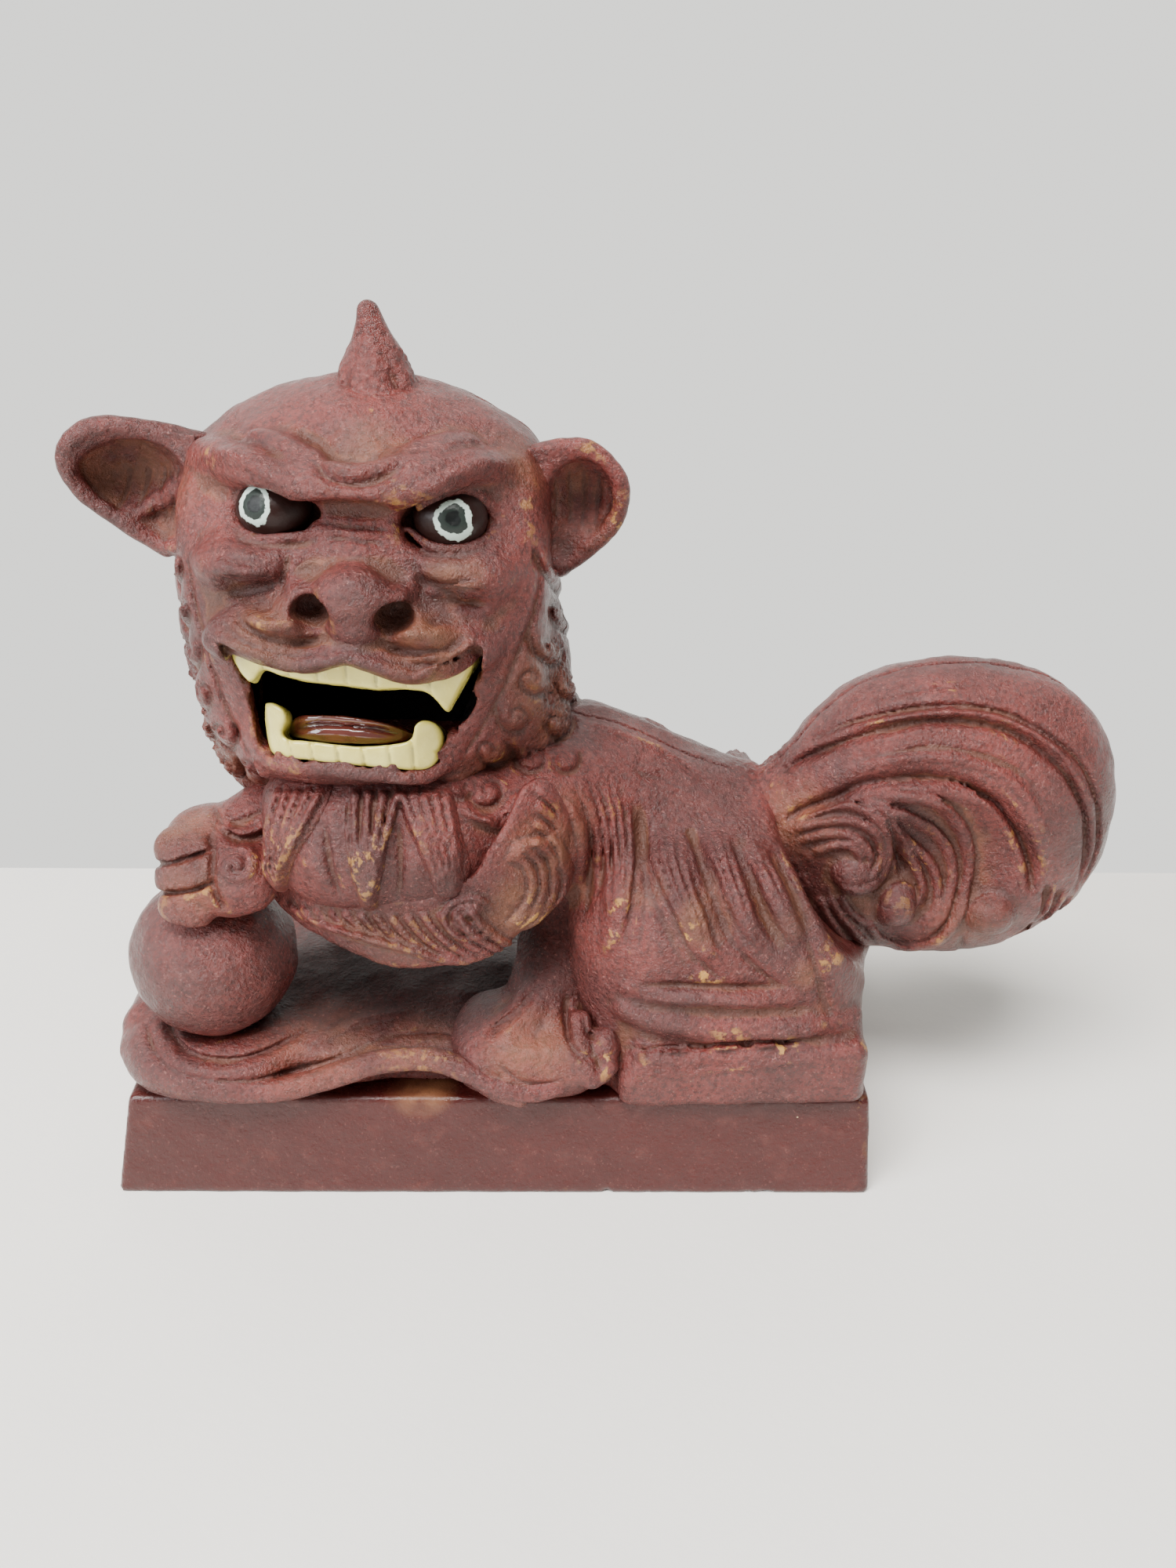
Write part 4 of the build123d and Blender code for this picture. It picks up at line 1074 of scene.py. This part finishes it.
def model_beard(body):
    """Three tufts cut from a layer half a millimetre proud of the chest."""
    layer = body.copy().press(beard_relief(), wrap=0.2).copy(high=(4, 0, 100))
    layer.d -= 0.5
    beard = layer.copy()
    beard.d[:] = FAR
    for outline in ([(-40, 69), (-28, 69), (-30, 61), (-35, 54), (-40, 44.5), (-43.5, 46),
                     (-42, 56)],
                    [(-25.5, 69), (-15.5, 69), (-17.4, 57), (-20.4, 44.5), (-23, 44.5),
                     (-24.8, 57)],
                    [(-17, 69), (-7.5, 69), (-3.8, 59), (-2.6, 52), (-4.6, 44.8), (-9.4, 45.6),
                     (-10.4, 52), (-14, 60)]):
        tuft = layer.copy().keep(prism(smooth_path(outline, 1.5), -44, -26), 1.2)
        beard.d = np.minimum(beard.d, tuft.d)
    return beard


# ---------------------------------------------------------------- bib, legs
BIB = smooth_path([(-44.5, 46.5), (-37.5, 41.7), (-31.5, 38.5), (-26, 36), (-19, 33.6),
                   (-12, 33.4), (-5, 34.8), (2, 37.5), (7, 41), (12.5, 46), (15.5, 50), (17, 56),
                   (15, 63), (11, 69), (7, 68), (4, 62), (1, 57), (-2, 52), (-6.5, 49),
                   (-11.5, 48), (-18.5, 48), (-26.5, 49), (-35, 50), (-42, 51)], 1.5)


def model_bib():
    """Layer of mane that hangs in a crescent below the chest and climbs the shoulder."""
    c = Clay((-46, -42, 46), (24, -10, 98), 0.45)
    c.add(prism(BIB, -41, -18, 0.3))
    c.keep(egg((-13, 4, 72), (37, 41.5, 60), power=2.3), 1.6)
    c.carve(egg((-15, 0, 52), (34, 31, 16), power=2.4), 1.0)
    return c


def bib_relief():
    """Slanting strands that run into a spiral, and nested arcs up the shoulder."""
    r = Relief((-46, 28), (26, 80))
    for n in range(13):
        u = -39 + 3.0 * n
        top = 43.8 - 0.045 * (u + 30) if u < -15 else 43.3 + 0.10 * (u + 15)
        drop = min(10.0, 3.5 + 0.9 * n)
        r.line([(u, top + 0.8), (u + 3.6, top - drop * 0.42), (u + 8.5, top - drop * 0.78),
                (u + 14, top - drop)], 0.85, 0.95, (0.05, 0.15))
    r.dome(-3.0, 43.2, 6.5, 5.5, 0.9)
    for size in (4.6, 2.9, 1.4):
        turn = np.linspace(0.4, 2 * math.pi - 0.5, 12)
        r.line(np.column_stack([-3.2 + size * np.cos(turn), 43.4 + 0.86 * size * np.sin(turn)]),
               0.7, 0.9, (0.1, 0.1))
    for n in range(4):
        k = 2.1 * n
        r.line([(3.6 + 0.4 * n, 55 + k * 0.4), (7.2 + k * 0.9, 54 + k * 0.5), (8.6 + k, 49.5),
                (7.2 + k * 0.9, 45 - k * 0.1), (3.6 + k * 0.6, 41.2 - k * 0.2)], 0.95, 1.0,
               (0.1, 0.1))
    for n in range(4):
        r.line([(9.5 - 0.3 * n, 68 - 3.2 * n), (13 - 0.2 * n, 64.5 - 3 * n),
                (15.5 - 0.3 * n, 58.5 - 2.4 * n)], 0.9, 1.0, (0.1, 0.2))
    return r


def ball_leg():
    """Foreleg from under the beard, with stacked toes over the ball."""
    c = Clay((-72, -42, 54), (-30, 4, 94), 0.45)
    c.add(strand([(-36, -10, 77), (-45, -15, 75), (-52, -20, 71.5)], [9, 8.5, 7.5], 2))
    c.add(egg((-53.0, -20.5, 70.5), (11.4, 13.0, 8.6), power=2.8, roll=8), 3)
    for up, depth, left in ((56.0, -24.5, -61.5), (50.3, -28.0, -61.0), (45.0, -30.0, -60.5)):
        x, y, z = at(left, up, depth)
        c.add(egg((x + 3.0, y, z), (5.4, 4.2, 3.4), power=2.6, roll=14), 1.2)
    c.add(egg((-47.0, -29.0, 71.0), (7.0, 5.5, 6.5), power=2.4), 2)
    r = Relief((-72, 30), (-28, 78))
    r.lines(([(-66, 52.6), (-59, 53.4), (-52, 55.6)], 0.7, -1.6, (0.1, 0.1)),
            ([(-66, 47.2), (-56.5, 48.0), (-51, 50.0)], 0.7, -1.6, (0.1, 0.1)),
            ([(-53, 59), (-51.2, 54.5), (-51, 49), (-49.5, 44.5)], 0.9, -1.2, (0.1, 0.1)),
            shape="round")
    r.curl(-46.6, 53.0, 3.6, 1.3, 1.8, -1, 0.9)
    r.lines(([(-52, 62.5), (-49, 59.6), (-45, 59.4), (-41.5, 62)], 0.8, 0.9),
            ([(-51, 60), (-48, 57.6), (-44.4, 57.8), (-41, 60.4)], 0.8, -0.9),
            ([(-54.5, 63.6), (-50.5, 60.8), (-47.6, 61), (-43, 63.5)], 0.7, -0.8), shape="round")
    c.press(r)
    return c.carve(egg(BALL, (BALL_RADIUS + 0.1,) * 3))


def planted_leg():
    """Foreleg that comes down behind the bib to a broad paw on the apron."""
    c = Clay((-12, -44, 21.9), (32, -4, 72), 0.45)
    c.add(strand([(15, -9, 66), (15.5, -10, 52), (13.5, -14, 43), (10.5, -21, 35)],
                 [10, 10, 9.5, 8.5], 2))
    c.add(egg((7.5, -24.5, 29.2), (16.5, 13, 8.2), power=2.9), 4)
    c.add(strand([(12, -21, 43), (5, -28, 37), (-3, -31, 31)], [3.4, 3.6, 3.2], 2), 2)
    c.add(strand([(-3, -31, 31), (0, -35.5, 27.4), (5.5, -37.4, 25.0)], [3.2, 2.9, 1.9], 2), 2)
    c.add(egg((7.5, -32, 29), (7, 6, 4.5)), 2.5)
    c.add(egg((14.5, -33, 30), (6, 5.5, 4.5)), 2)
    c.add(strand([(17.5, -29, 37.5), (17.2, -34.5, 33.4), (20, -36.2, 29.6), (23.5, -35, 31.2)],
                 [2.6, 2.8, 2.6, 1.8], 2), 1.2)
    c.add(egg((22.5, -31, 33), (3.6, 4.5, 4.5)), 1.5)
    r = Relief((-14, 0), (34, 60))
    r.lines(([(-1.5, 17.6), (5, 22.6), (10, 28.5)], 1.0, -1.0),
            ([(15, 26), (14.6, 21), (16.5, 15.6), (20, 13.6)], 0.9, -1.1),
            ([(18, 22.5), (19, 18.6), (21.4, 17.6)], 0.6, -0.6), shape="round")
    r.line([(1, 13), (6, 9.4), (11, 8.8), (16, 11)], 1.0, -0.5, shape="soft")
    c.press(r)
    return c.keep(wall_of(2, PLINTH_TOP, below=False))


# ---------------------------------------------------------------- apron and ball
def model_apron():
    """Slab of rock with a rolled wavy rim that laps over the plinth, and the ball's seat."""
    c = Clay((-80, -43, 18), (32, 40, 44), 0.5)
    c.add(egg((-24, 1, 27.4), (50.5, 33, 5.6), power=5))
    c.add(egg((-57, -18, 29), (19.5, 20.5, 5.5), power=2.6), 3)
    c.add(egg((-20, 2, 32), (26, 24, 4)), 4)
    rim = [(-75.5, -18, 28.6), (-74.5, -26, 27.2), (-68, -33.5, 26.6), (-59, -36.3, 26.4),
           (-46, -36.8, 26.3), (-36, -35.8, 27.6), (-28, -34.6, 29.8), (-20, -33.8, 31.6),
           (-14, -33.8, 32), (-8, -34.6, 31), (0, -36.4, 28), (8, -37, 26.6), (14, -36, 28.2),
           (21, -34, 31)]
    c.add(strand(rim, [2.4, 2.6, 2.6, 2.6, 2.5, 2.5, 2.4, 2.3, 2.3, 2.4, 2.5, 2.5, 2.4, 2.2]), 2.4)
    c.add(strand([(-75.5, -18, 28.6), (-76, 0, 28), (-75, 18, 28.5), (-66, 31, 28),
                  (-40, 33.5, 28), (-10, 34, 28), (26, 33, 28)], 3.0, 5), 3)
    # the arch in the rim shows the plinth's ledge
    c.carve(egg((-15, -36, 23.5), (16, 7, 6.2), power=2.2), 0.8)
    c.carve(egg((26, -37, 24.0), (7, 7, 4.4)), 0.8)
    # dished seat and the groove round the ball
    c.carve(egg(BALL, (BALL_RADIUS + 0.6,) * 3), 1.5)
    r = Relief((-84, -6), (34, 46))
    r.lines(([(-70, 25), (-67, 18.5), (-62, 14.6), (-56, 13), (-50, 13), (-43.5, 15), (-38, 18)],
             1.2, -1.5, (0.2, 0.2)), ([(-72.5, 19), (-67.5, 14), (-62, 10.8), (-53, 9.2),
                                       (-43.5, 9.6), (-33.5, 12), (-24.5, 15.4), (-18, 16.6),
                                       (-9.5, 16.6), (-4.5, 14), (0.5, 10)], 0.9, -0.7,
                                      (0.05, 0.1)), ([(-40, 15), (-33, 17.5), (-26, 20),
                                                      (-18, 21)], 1.4, 0.6))
    return c.press(r)


def ball():
    """The ball under the paw."""
    return Clay((-76, -39, 30), (-38, -1, 67)).add(egg(BALL, (BALL_RADIUS,) * 3))


# ---------------------------------------------------------------- tail
def model_tail():
    """Round plume like a breaking wave, with scrolls and beads in its hollow."""
    c = Clay((50, -23, 36), (132, 23, 112), 0.5)
    c.add(egg((94, 0, 71.5), (34.6, 18.2, 33.2), power=2.25))
    c.add(egg((76, 0, 64), (17, 14, 22)), 5)
    c.add(strand([(60, 0, 70), (70, 0, 76), (80, 0, 84)], [11, 12, 13], 3), 6)
    c.add(egg((75, 0, 52), (10, 13, 11)), 4)
    for back in (False, True):
        s = -1 if back else 1
        # the hollow under the breaking crest
        c.carve(egg((91, s * -18.5, 66), (17, 6.5, 15), roll=20), 4)
        for (u, v), half in (((73, 51.2), (4.6, 5.0, 4.4)), ((82.5, 44.5), (4.4, 5.4, 5.0)),
                             ((102.5, 42.6), (5.4, 5.0, 5.0))):
            x, y, z = at(u, v, -13.5)
            c.add(egg((x, s * y, z), half), 1.2)
    return c.press(tail_relief()).press(tail_relief(), back=True)


def tail_relief():
    """Sweeping grooves of the crest, the lock inside it and the scroll at its root."""
    r = Relief((48, 24), (132, 100))
    a = [(58, 70.5), (63, 74), (70, 77.3), (77, 79.5), (84.5, 81), (92, 81), (99.5, 79.5),
         (105.5, 76.5), (111.5, 72), (116.5, 66), (119.6, 59.5), (121, 52), (120, 46)]
    r.line(a, 1.5, -2.2, (0.08, 0.15), "cut")
    b = [(63.5, 77.2), (70, 80.5), (77.5, 82.7), (84.5, 83.8), (92, 84), (100, 82.5), (108, 78.7),
         (115.5, 73.5), (120, 67), (122.6, 60.5), (123.4, 54), (121.5, 47)]
    r.line(b, 1.0, -1.5, (0.1, 0.15), "cut")
    r.lines(([(66, 79), (77, 81.4), (86, 82.6), (96, 82.2), (104, 79.4), (112, 74), (118, 66)],
             0.7, 0.7, (0.2, 0.2)), ([(74.5, 84.8), (80, 86.5), (86.5, 87.5), (94, 88),
                                      (97, 87.2)], 0.45, -0.45), ([(54, 74.5), (59, 80),
                                                                   (64, 84.5), (67.5, 87)], 0.5,
                                                                  -0.6), ([(72.5, 73.5),
                                                                           (79.5, 75.2), (87, 76),
                                                                           (94.5, 74.6),
                                                                           (101.5, 72),
                                                                           (105.5, 69),
                                                                           (108.5, 64.5)], 0.5,
                                                                          -0.5), shape="round")
    r.line([(66, 70), (74, 72.6), (84, 74), (93, 73), (101, 69.6), (107, 63.6), (110.5, 57)], 1.6,
           0.8, shape="soft")
    c = [(59, 61), (63, 63.8), (67.5, 66), (72.5, 68.6), (78, 69.8), (85, 70.2), (91.5, 69.2),
         (98, 66.5), (102.8, 62), (106.3, 57.5), (108.8, 52), (109.6, 46.5)]
    r.line(c, 2.0, -2.6, (0.05, 0.1), "cut")
    # the lock: nested teardrops
    for path, width in (([(75, 66), (83.5, 66.2), (90.5, 62.8), (95.2, 57.5), (96.8, 51), (96, 44),
                          (94, 38), (90.5, 34.5), (84.5, 34)], 1.3), ([(73, 65), (79, 63.2),
                                                                       (85, 61), (90.5, 57.4),
                                                                       (93.5, 52), (93.6, 46.5),
                                                                       (92, 41), (89, 37.6)], 1.3),
                        ([(76, 63.5), (80.5, 59.6), (85.5, 56), (89.4, 52), (91.2, 47),
                          (90.6, 42.5), (88, 39.6)], 1.1), ([(78, 60.5), (82.5, 56.4), (86, 51.8),
                                                             (88, 47), (87.4, 43)], 1.1)):
        r.line(path, width, 1.5, (0.1, 0.15))
    r.line([(77.5, 62), (81, 57), (83, 52.5), (83.5, 50)], 1.3, -2.0, shape="soft")
    # the scroll
    for path in ([(59.5, 60.8), (63.5, 63), (69, 64.5), (73, 63.6), (77, 60.6), (79.6, 56.5),
                  (79.8, 52), (78, 48.6), (74, 46.8), (70, 47.6)], [(60, 59), (65, 61), (71, 61.4),
                                                                    (75.3, 59.4), (77.8, 55.8),
                                                                    (78, 52), (76, 49)],
                 [(61.5, 57), (66.5, 58.6), (71, 58.4), (75, 55.6), (76.4, 52.4)], [(64.5, 54.6),
                                                                                    (68, 56.2),
                                                                                    (71.6, 56.2),
                                                                                    (74.4, 53.6)]):
        r.line(path, 1.05, 1.3, (0.1, 0.12))
    # small locks at the foot
    for path in ([(66.5, 45.5), (70, 39.6), (74, 34.8), (79, 32)], [(68.5, 45.6), (71.6, 41),
                                                                    (76, 36.6), (79.5, 34)],
                 [(70.6, 46), (73.2, 42.4), (77, 39.4)], [(77, 40.4), (79.6, 37), (84.5, 34.4),
                                                          (90, 32.8)]):
        r.line(path, 0.9, 1.0, (0.1, 0.2))
    for path in ([(113, 48.4), (113.6, 43), (112.2, 38.5), (108.5, 35.4)], [(119.6, 46),
                                                                            (118.6, 41.6),
                                                                            (114, 37.4),
                                                                            (109.4, 34)],
                 [(116.4, 47.4), (116, 42.4), (113, 37.8)]):
        r.line(path, 0.9, -1.1, (0.1, 0.2))
    r.line([(97, 37), (99, 34), (103, 32.4)], 0.9, -1.0)
    r.dome(102.5, 43, 5.4, 4.6, 0.6)
    return r


# ---------------------------------------------------------------- plinth
def model_plinth():
    """Tapered box, open below, with its arrises worn and a few corners knocked off."""
    c = Clay((-81, -40.5, -1.2), (81, 40.5, 24), 0.72)
    half_length, half_depth = 78.35, 38.0
    lean = 4.0 / PLINTH_TOP      # the right end leans less than the other sides
    slope = math.hypot(1.0, lean)
    wear = 1.2                   # width over which the arrises are rounded

    def distance(x, y, z):
        side = np.maximum(x - half_length + 0.3 * lean * z, -x - half_length + lean * z) / slope
        face = (np.abs(y) - half_depth + lean * z) / slope
        top = np.maximum(z - PLINTH_TOP, -z)
        walls = smooth_least(-side + 0 * y, -face + 0 * x, wear)
        return -smooth_least(walls, -top + 0 * x + 0 * y, wear * 0.8)

    c.add(Shape((-79, -39, 0), (79, 39, PLINTH_TOP), distance))
    for x in (-38, 38):
        c.carve(slab((x, 0, 5), (35, 31.5, 12), 2.0), 0.5)
    rng = np.random.default_rng(5)
    for _ in range(26):
        x = rng.uniform(-77, 77)
        low = rng.random() < 0.45
        place = (x, -38.4, 0.2) if low else (x, -34.4, 22.3)
        c.carve(egg(place, rng.uniform(0.5, 1.4, 3)), 0.3)
    return c


# ---------------------------------------------------------------- build
def blacken_mouth(mesh):
    """Store where the head's paint is black: all that lies inside the mouth's outline."""
    p = places(mesh)
    outline = prism(MOUTH, -60, -6).distance(p[:, 0], p[:, 1], p[:, 2])
    lips_back = -31.5 + 0.014 * (p[:, 0] + 22.0) ** 2
    note(mesh, "black", (outline < 0.25) & (p[:, 1] > lips_back))


def figure(name, mesh, node=None, dust=(), rub=(), painted_shade=()):
    """Show a piece of the figure with its dust, rubbed gold and painted shade."""
    if painted_shade:
        blots(mesh, "black", painted_shade)
    blots(mesh, "dust", dust)
    blots(mesh, "rub", rub)
    piece(name, mesh, oxblood, node or name)


def castings(clay, name, ending, crust, dust, rub, mark=None):
    """Show the front and rear castings of one block."""
    for half, below, place in (("front", True, -SEAM_GAP), ("rear", False, SEAM_GAP)):
        mesh = mesh_of(f"{name}_{half}", clay.copy().keep(wall_of(1, place, below)), 1.0, crust)
        if mark:
            mark(mesh)
        figure(f"{name}_{half}", mesh, f"{name}_{half}_{ending}", dust, rub)


def eye_paint():
    """Maroon ball, darkened to paint in the shade of its socket, with a pale ring and a dark
    grey-green pupil, brushed on.
    """
    g = Graph("eye_enamel")
    iris = g.read("iris")
    edge = g.sum("ADD", iris, g.ramp(g.noise(900.0), 0.3, 0.7, -0.06, 0.06))
    tone = g.mix(g.ramp(edge, 0.70, 0.75), (0.014, 0.020, 0.017), (0.46, 0.56, 0.50))
    # outside the ring: the ball's maroon, made very dark as painted shade from the socket
    tone = g.mix(g.ramp(edge, 0.96, 1.02), tone, (0.014, 0.004, 0.003))
    tone = g.mix(g.ramp(edge, 0.46, 0.34), tone, (0.003, 0.004, 0.004))
    return g.finish(tone, g.ramp(g.noise(400.0), 0.3, 0.7, 0.32, 0.5),
                    g.bump(g.noise(700.0, 3.0), 0.25, 0.0005), Specular_IOR_Level=0.25)


def steel():
    """Plain screws and pins inside the castings."""
    g = Graph("plain_steel")
    tone = g.mix(g.ramp(g.noise(500.0, 3.0), 0.35, 0.7), (0.42, 0.41, 0.40), (0.30, 0.27, 0.24))
    return g.finish(tone, g.ramp(g.noise(260.0), 0.3, 0.7, 0.32, 0.55),
                    g.bump(g.noise(1500.0, 2.0, stretch=(1, 1, 0.1)), 0.2, 0.0002), Metallic=0.95)


oxblood = casting_paint("oxblood_paint", (0.154, 0.0290, 0.0240), (0.070, 0.0150, 0.0130))
cream = plain_paint("cream_enamel", (0.66, 0.59, 0.155), (0.58, 0.50, 0.105), 0.20)
tongue_paint = plain_paint("tongue_gloss", (0.105, 0.022, 0.016), (0.07, 0.014, 0.010), 0.10,
                           0.06, 0.4, 1.0)

# the head, split into its front and rear castings, and what is pinned to it
mane = mane_relief()
head = model_head().press(face_relief()).press(mane, wrap=0.2).press(nape_relief(), back=True)
castings(head, "head", "shell",
         [(-19, -6, 158, 8), (-51, -4, 140, 7), (8, -4, 137, 7), (13, -12, 106, 9),
          (14, -12, 94, 9), (9, -20, 84, 7), (-57, -8, 104, 9), (-55, -10, 92, 9),
          (-50, -16, 82, 7)],
         [(-19, -24, 151, 6, 0.3), (-4, -35, 134, 5, 0.5), (-36, -38, 124, 6, 0.3),
          (-8, -38, 122, 6, 0.45), (7, -15, 148, 6, 0.3), (-49, -14, 140, 6, 0.3),
          (9, -20, 108, 9, 0.3), (13, -14, 98, 9, 0.3), (-52, -16, 90, 9, 0.3),
          (2, -26, 88, 8, 0.4)],
         [(-12, -31, 143, 5, 0.4), (5, -20, 139, 6, 0.35)], blacken_mouth)
for name, clay, crust in (("left_ear", left_ear(), [(-51, -4, 140, 6)]),
                          ("right_ear", right_ear(), [(8, -4, 137, 6)]),
                          ("horn", horn(), [(-19, -6, 157.5, 8)])):
    figure(name, mesh_of(name, clay, 1.0, crust), dust=[(18, -12, 135, 6, 0.3)],
           rub=[(25, -9, 136, 4, 0.6), (-19, -6, 160, 4, 0.25)])

enamel = eye_paint()
for name, middle, gaze, half_u, half_v in (
        ("left_eyeball", (-34.8, -24.4, 141.6), (-37.0, 114.6), 2.8, 3.5),
        ("right_eyeball", (-5.2, -24.2, 140.0), (-4.2, 112.5), 3.2, 3.3)):
    piece(name, eye_mesh(name, middle, gaze, half_u, half_v), enamel, name)
for name, clay, paint, slot in (("upper_teeth", upper_teeth(), cream, "tooth_paint"),
                                ("lower_teeth", lower_teeth(), cream, "tooth_paint"),
                                ("tongue", tongue(), tongue_paint, "tongue_paint")):
    piece(name, mesh_of(name, clay, 0.6), paint, name)

# the body, the beard that lies over its chest, the legs, the apron, the ball and the tail
body = model_body()
body.press(flank_relief()).press(flank_relief(), back=True).press(mane, wrap=0.2)
castings(body, "body", "shell", [(53, 0, 78, 7), (76, -4, 50, 5)],
         [(29, -31, 70, 4, 0.5), (41, -31, 64, 4.5, 0.5), (57, -28, 62, 4, 0.5),
          (61, -30, 52, 3.5, 0.6), (64, -29, 44, 3.5, 0.65), (67, -29, 36, 3.5, 0.6),
          (70, -29, 28, 3.5, 0.5), (16, -26, 82, 6, 0.3)],
         [(58, -36, 37, 2.5, 0.8), (74, -34, 34, 3, 0.9), (24.5, -31, 66, 2.5, 0.9),
          (24.3, -33, 60, 2.5, 0.9), (23.8, -33, 56, 2.5, 0.9), (38, -34, 62, 2.5, 0.9),
          (40, -34, 57, 2.5, 0.9), (42, -34, 53, 2.5, 0.9)])
figure("beard_tufts", mesh_of("beard_tufts", model_beard(body)),
       dust=[(-30, -36, 76, 8, 0.25)], rub=[(-21, -40, 80, 8, 0.5), (-36, -38, 80, 7, 0.45)])
figure("mane_bib", mesh_of("mane_bib", model_bib().press(bib_relief(), wrap=0.15)),
       dust=[(7, -34, 68, 7, 0.45), (10, -30, 78, 7, 0.45), (-18, -38, 62, 7, 0.15)],
       rub=[(9, -36, 64, 6, 0.7), (-14, -39, 60, 9, 0.3)])
# painted shade on the legs, under the chest
LEG_PAINTED_SHADE = [(15, -12, 52, 13, 0.6), (-40, -12, 64, 8, 0.5)]
figure("ball_leg", mesh_of("ball_leg", ball_leg()), painted_shade=LEG_PAINTED_SHADE,
       dust=[(-60, -22, 80, 7, 0.35), (-55, -30, 70, 6, 0.3)])
figure("planted_leg", mesh_of("planted_leg", planted_leg()), painted_shade=LEG_PAINTED_SHADE,
       dust=[(8, -35, 33, 8, 0.35)], rub=[(21, -36, 33, 3, 0.9)])
# the apron is painted darker under the body: painted shade
figure("rock_apron", mesh_of("rock_apron", model_apron()),
       dust=[(-35, -30, 34, 11, 0.22), (-15, -30, 36, 8, 0.25)], rub=[(-14, -36, 34, 7, 0.3)],
       painted_shade=[(-22, -6, 33, 18, 0.75), (-42, -10, 33, 12, 0.6), (2, -14, 33, 13, 0.65)])
figure("ball", mesh_of("ball", ball()))
castings(model_tail(), "tail", "half", [(55, 0, 80, 8), (60, -8, 60, 6)],
         [(98, -16, 50, 8, 0.2), (62, -10, 74, 7, 0.35)],
         [(86, -17, 66, 7, 0.4), (104, -16, 70, 6, 0.4)])

# the plinth, smoother and darker than the figure
plinth_paint = casting_paint("plinth_paint", (0.060, 0.0075, 0.0058), (0.050, 0.0066, 0.0052),
                             0.4, 0.2, 0.35)
mesh = mesh_of("plinth", model_plinth(), 0.35)
blots(mesh, "dust", [(-15, -31, 24, 5.5, 0.9)])
blots(mesh, "rub", [(74, -35, 21, 3, 0.9), (70, -37, 5, 3, 0.5), (-14, -36, 17, 4, 0.3)])
piece("plinth", mesh, plinth_paint, "plinth")

# hidden hardware keeps its CAD shape
plain_steel = steel()
for name in ("plinth_screws", "ball_dowel", "body_tie_screws", "neck_sleeve", "head_tie_screw",
             "horn_dowel", "ear_dowels", "tail_tie_screw", "tail_stud", "tail_nuts"):
    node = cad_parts[name]
    node.data.materials.clear()
    node.data.materials.append(plain_steel)


# ---------------------------------------------------------------- setting
FLOOR_END = 0.093            # where the cloth ends, behind the statue
ROOM, BEHIND = 0.42, 1.45    # strength of the room's light, and of what lies behind
MIDDLE = (0.0, 0.0, 0.08)    # what the lamps are aimed at
LAMPS = (("ceiling_light", (-0.15, -0.42, 1.10), (0.7, 0.4), 31.0, (1.0, 0.98, 0.95)),
         ("window_light", (-0.9, -0.6, 0.65), (0.7, 0.7), 19.0, (0.94, 0.97, 1.0)))
CAMERA = (0.015689, -0.244679, 0.202854)
RIGHT = Vector((0.99991, -0.00835, 0.01029))
AHEAD = Vector((0.01214, 0.88892, -0.45790))


def lay_floor():
    """Pale cloth under the statue."""
    g = Graph("pale_floor")
    tone = g.mix(g.ramp(g.noise(9.0, 5.0), 0.3, 0.7), (0.80, 0.775, 0.735), (0.76, 0.735, 0.70))
    floor = bpy.data.meshes.new("floor")
    floor.from_pydata([(-1.6, -1.2, 0), (1.6, -1.2, 0), (1.6, FLOOR_END, 0), (-1.6, FLOOR_END, 0)],
                      [], [(0, 1, 2, 3)])
    floor.materials.append(g.finish(tone, 0.8, g.bump(g.noise(420.0, 3.0), 0.12, 0.0006)))
    show("floor", floor)


def light_room():
    """A pale room that is brighter behind, and two soft lamps."""
    world = bpy.data.worlds.new("room")
    world.use_nodes = True
    tree = world.node_tree
    background = tree.nodes["Background"]
    heading = tree.nodes.new("ShaderNodeTexCoord")
    apart = tree.nodes.new("ShaderNodeSeparateXYZ")
    behind = tree.nodes.new("ShaderNodeMapRange")
    for label, value in (("From Min", 0.35), ("From Max", 0.60), ("To Min", ROOM),
                         ("To Max", BEHIND)):
        behind.inputs[label].default_value = value
    tree.links.new(heading.outputs["Generated"], apart.inputs[0])
    tree.links.new(apart.outputs["Y"], behind.inputs["Value"])
    tree.links.new(behind.outputs["Result"], background.inputs["Strength"])
    background.inputs["Color"].default_value = (0.99, 0.985, 0.945, 1)
    bpy.context.scene.world = world
    for name, place, size, power, colour in LAMPS:
        lamp = bpy.data.lights.new(name, "AREA")
        lamp.shape = "RECTANGLE"
        lamp.size, lamp.size_y = size
        lamp.energy = power
        lamp.color = colour
        thing = show(name, lamp)
        thing.location = place
        thing.rotation_euler = (Vector(MIDDLE) - Vector(place)).to_track_quat("-Z", "Y").to_euler()


def place_camera():
    """The photograph's own view."""
    lens = bpy.data.cameras.new("camera")
    lens.sensor_fit = "VERTICAL"
    lens.sensor_height, lens.sensor_width = 36.0, 27.0
    lens.lens = 30.36
    lens.clip_start = 0.01
    camera = show("camera", lens)
    turn = Matrix((RIGHT, RIGHT.cross(AHEAD), -AHEAD)).transposed()
    camera.matrix_world = Matrix.Translation(CAMERA) @ turn.to_4x4()
    bpy.context.scene.camera = camera


lay_floor()
light_room()
place_camera()
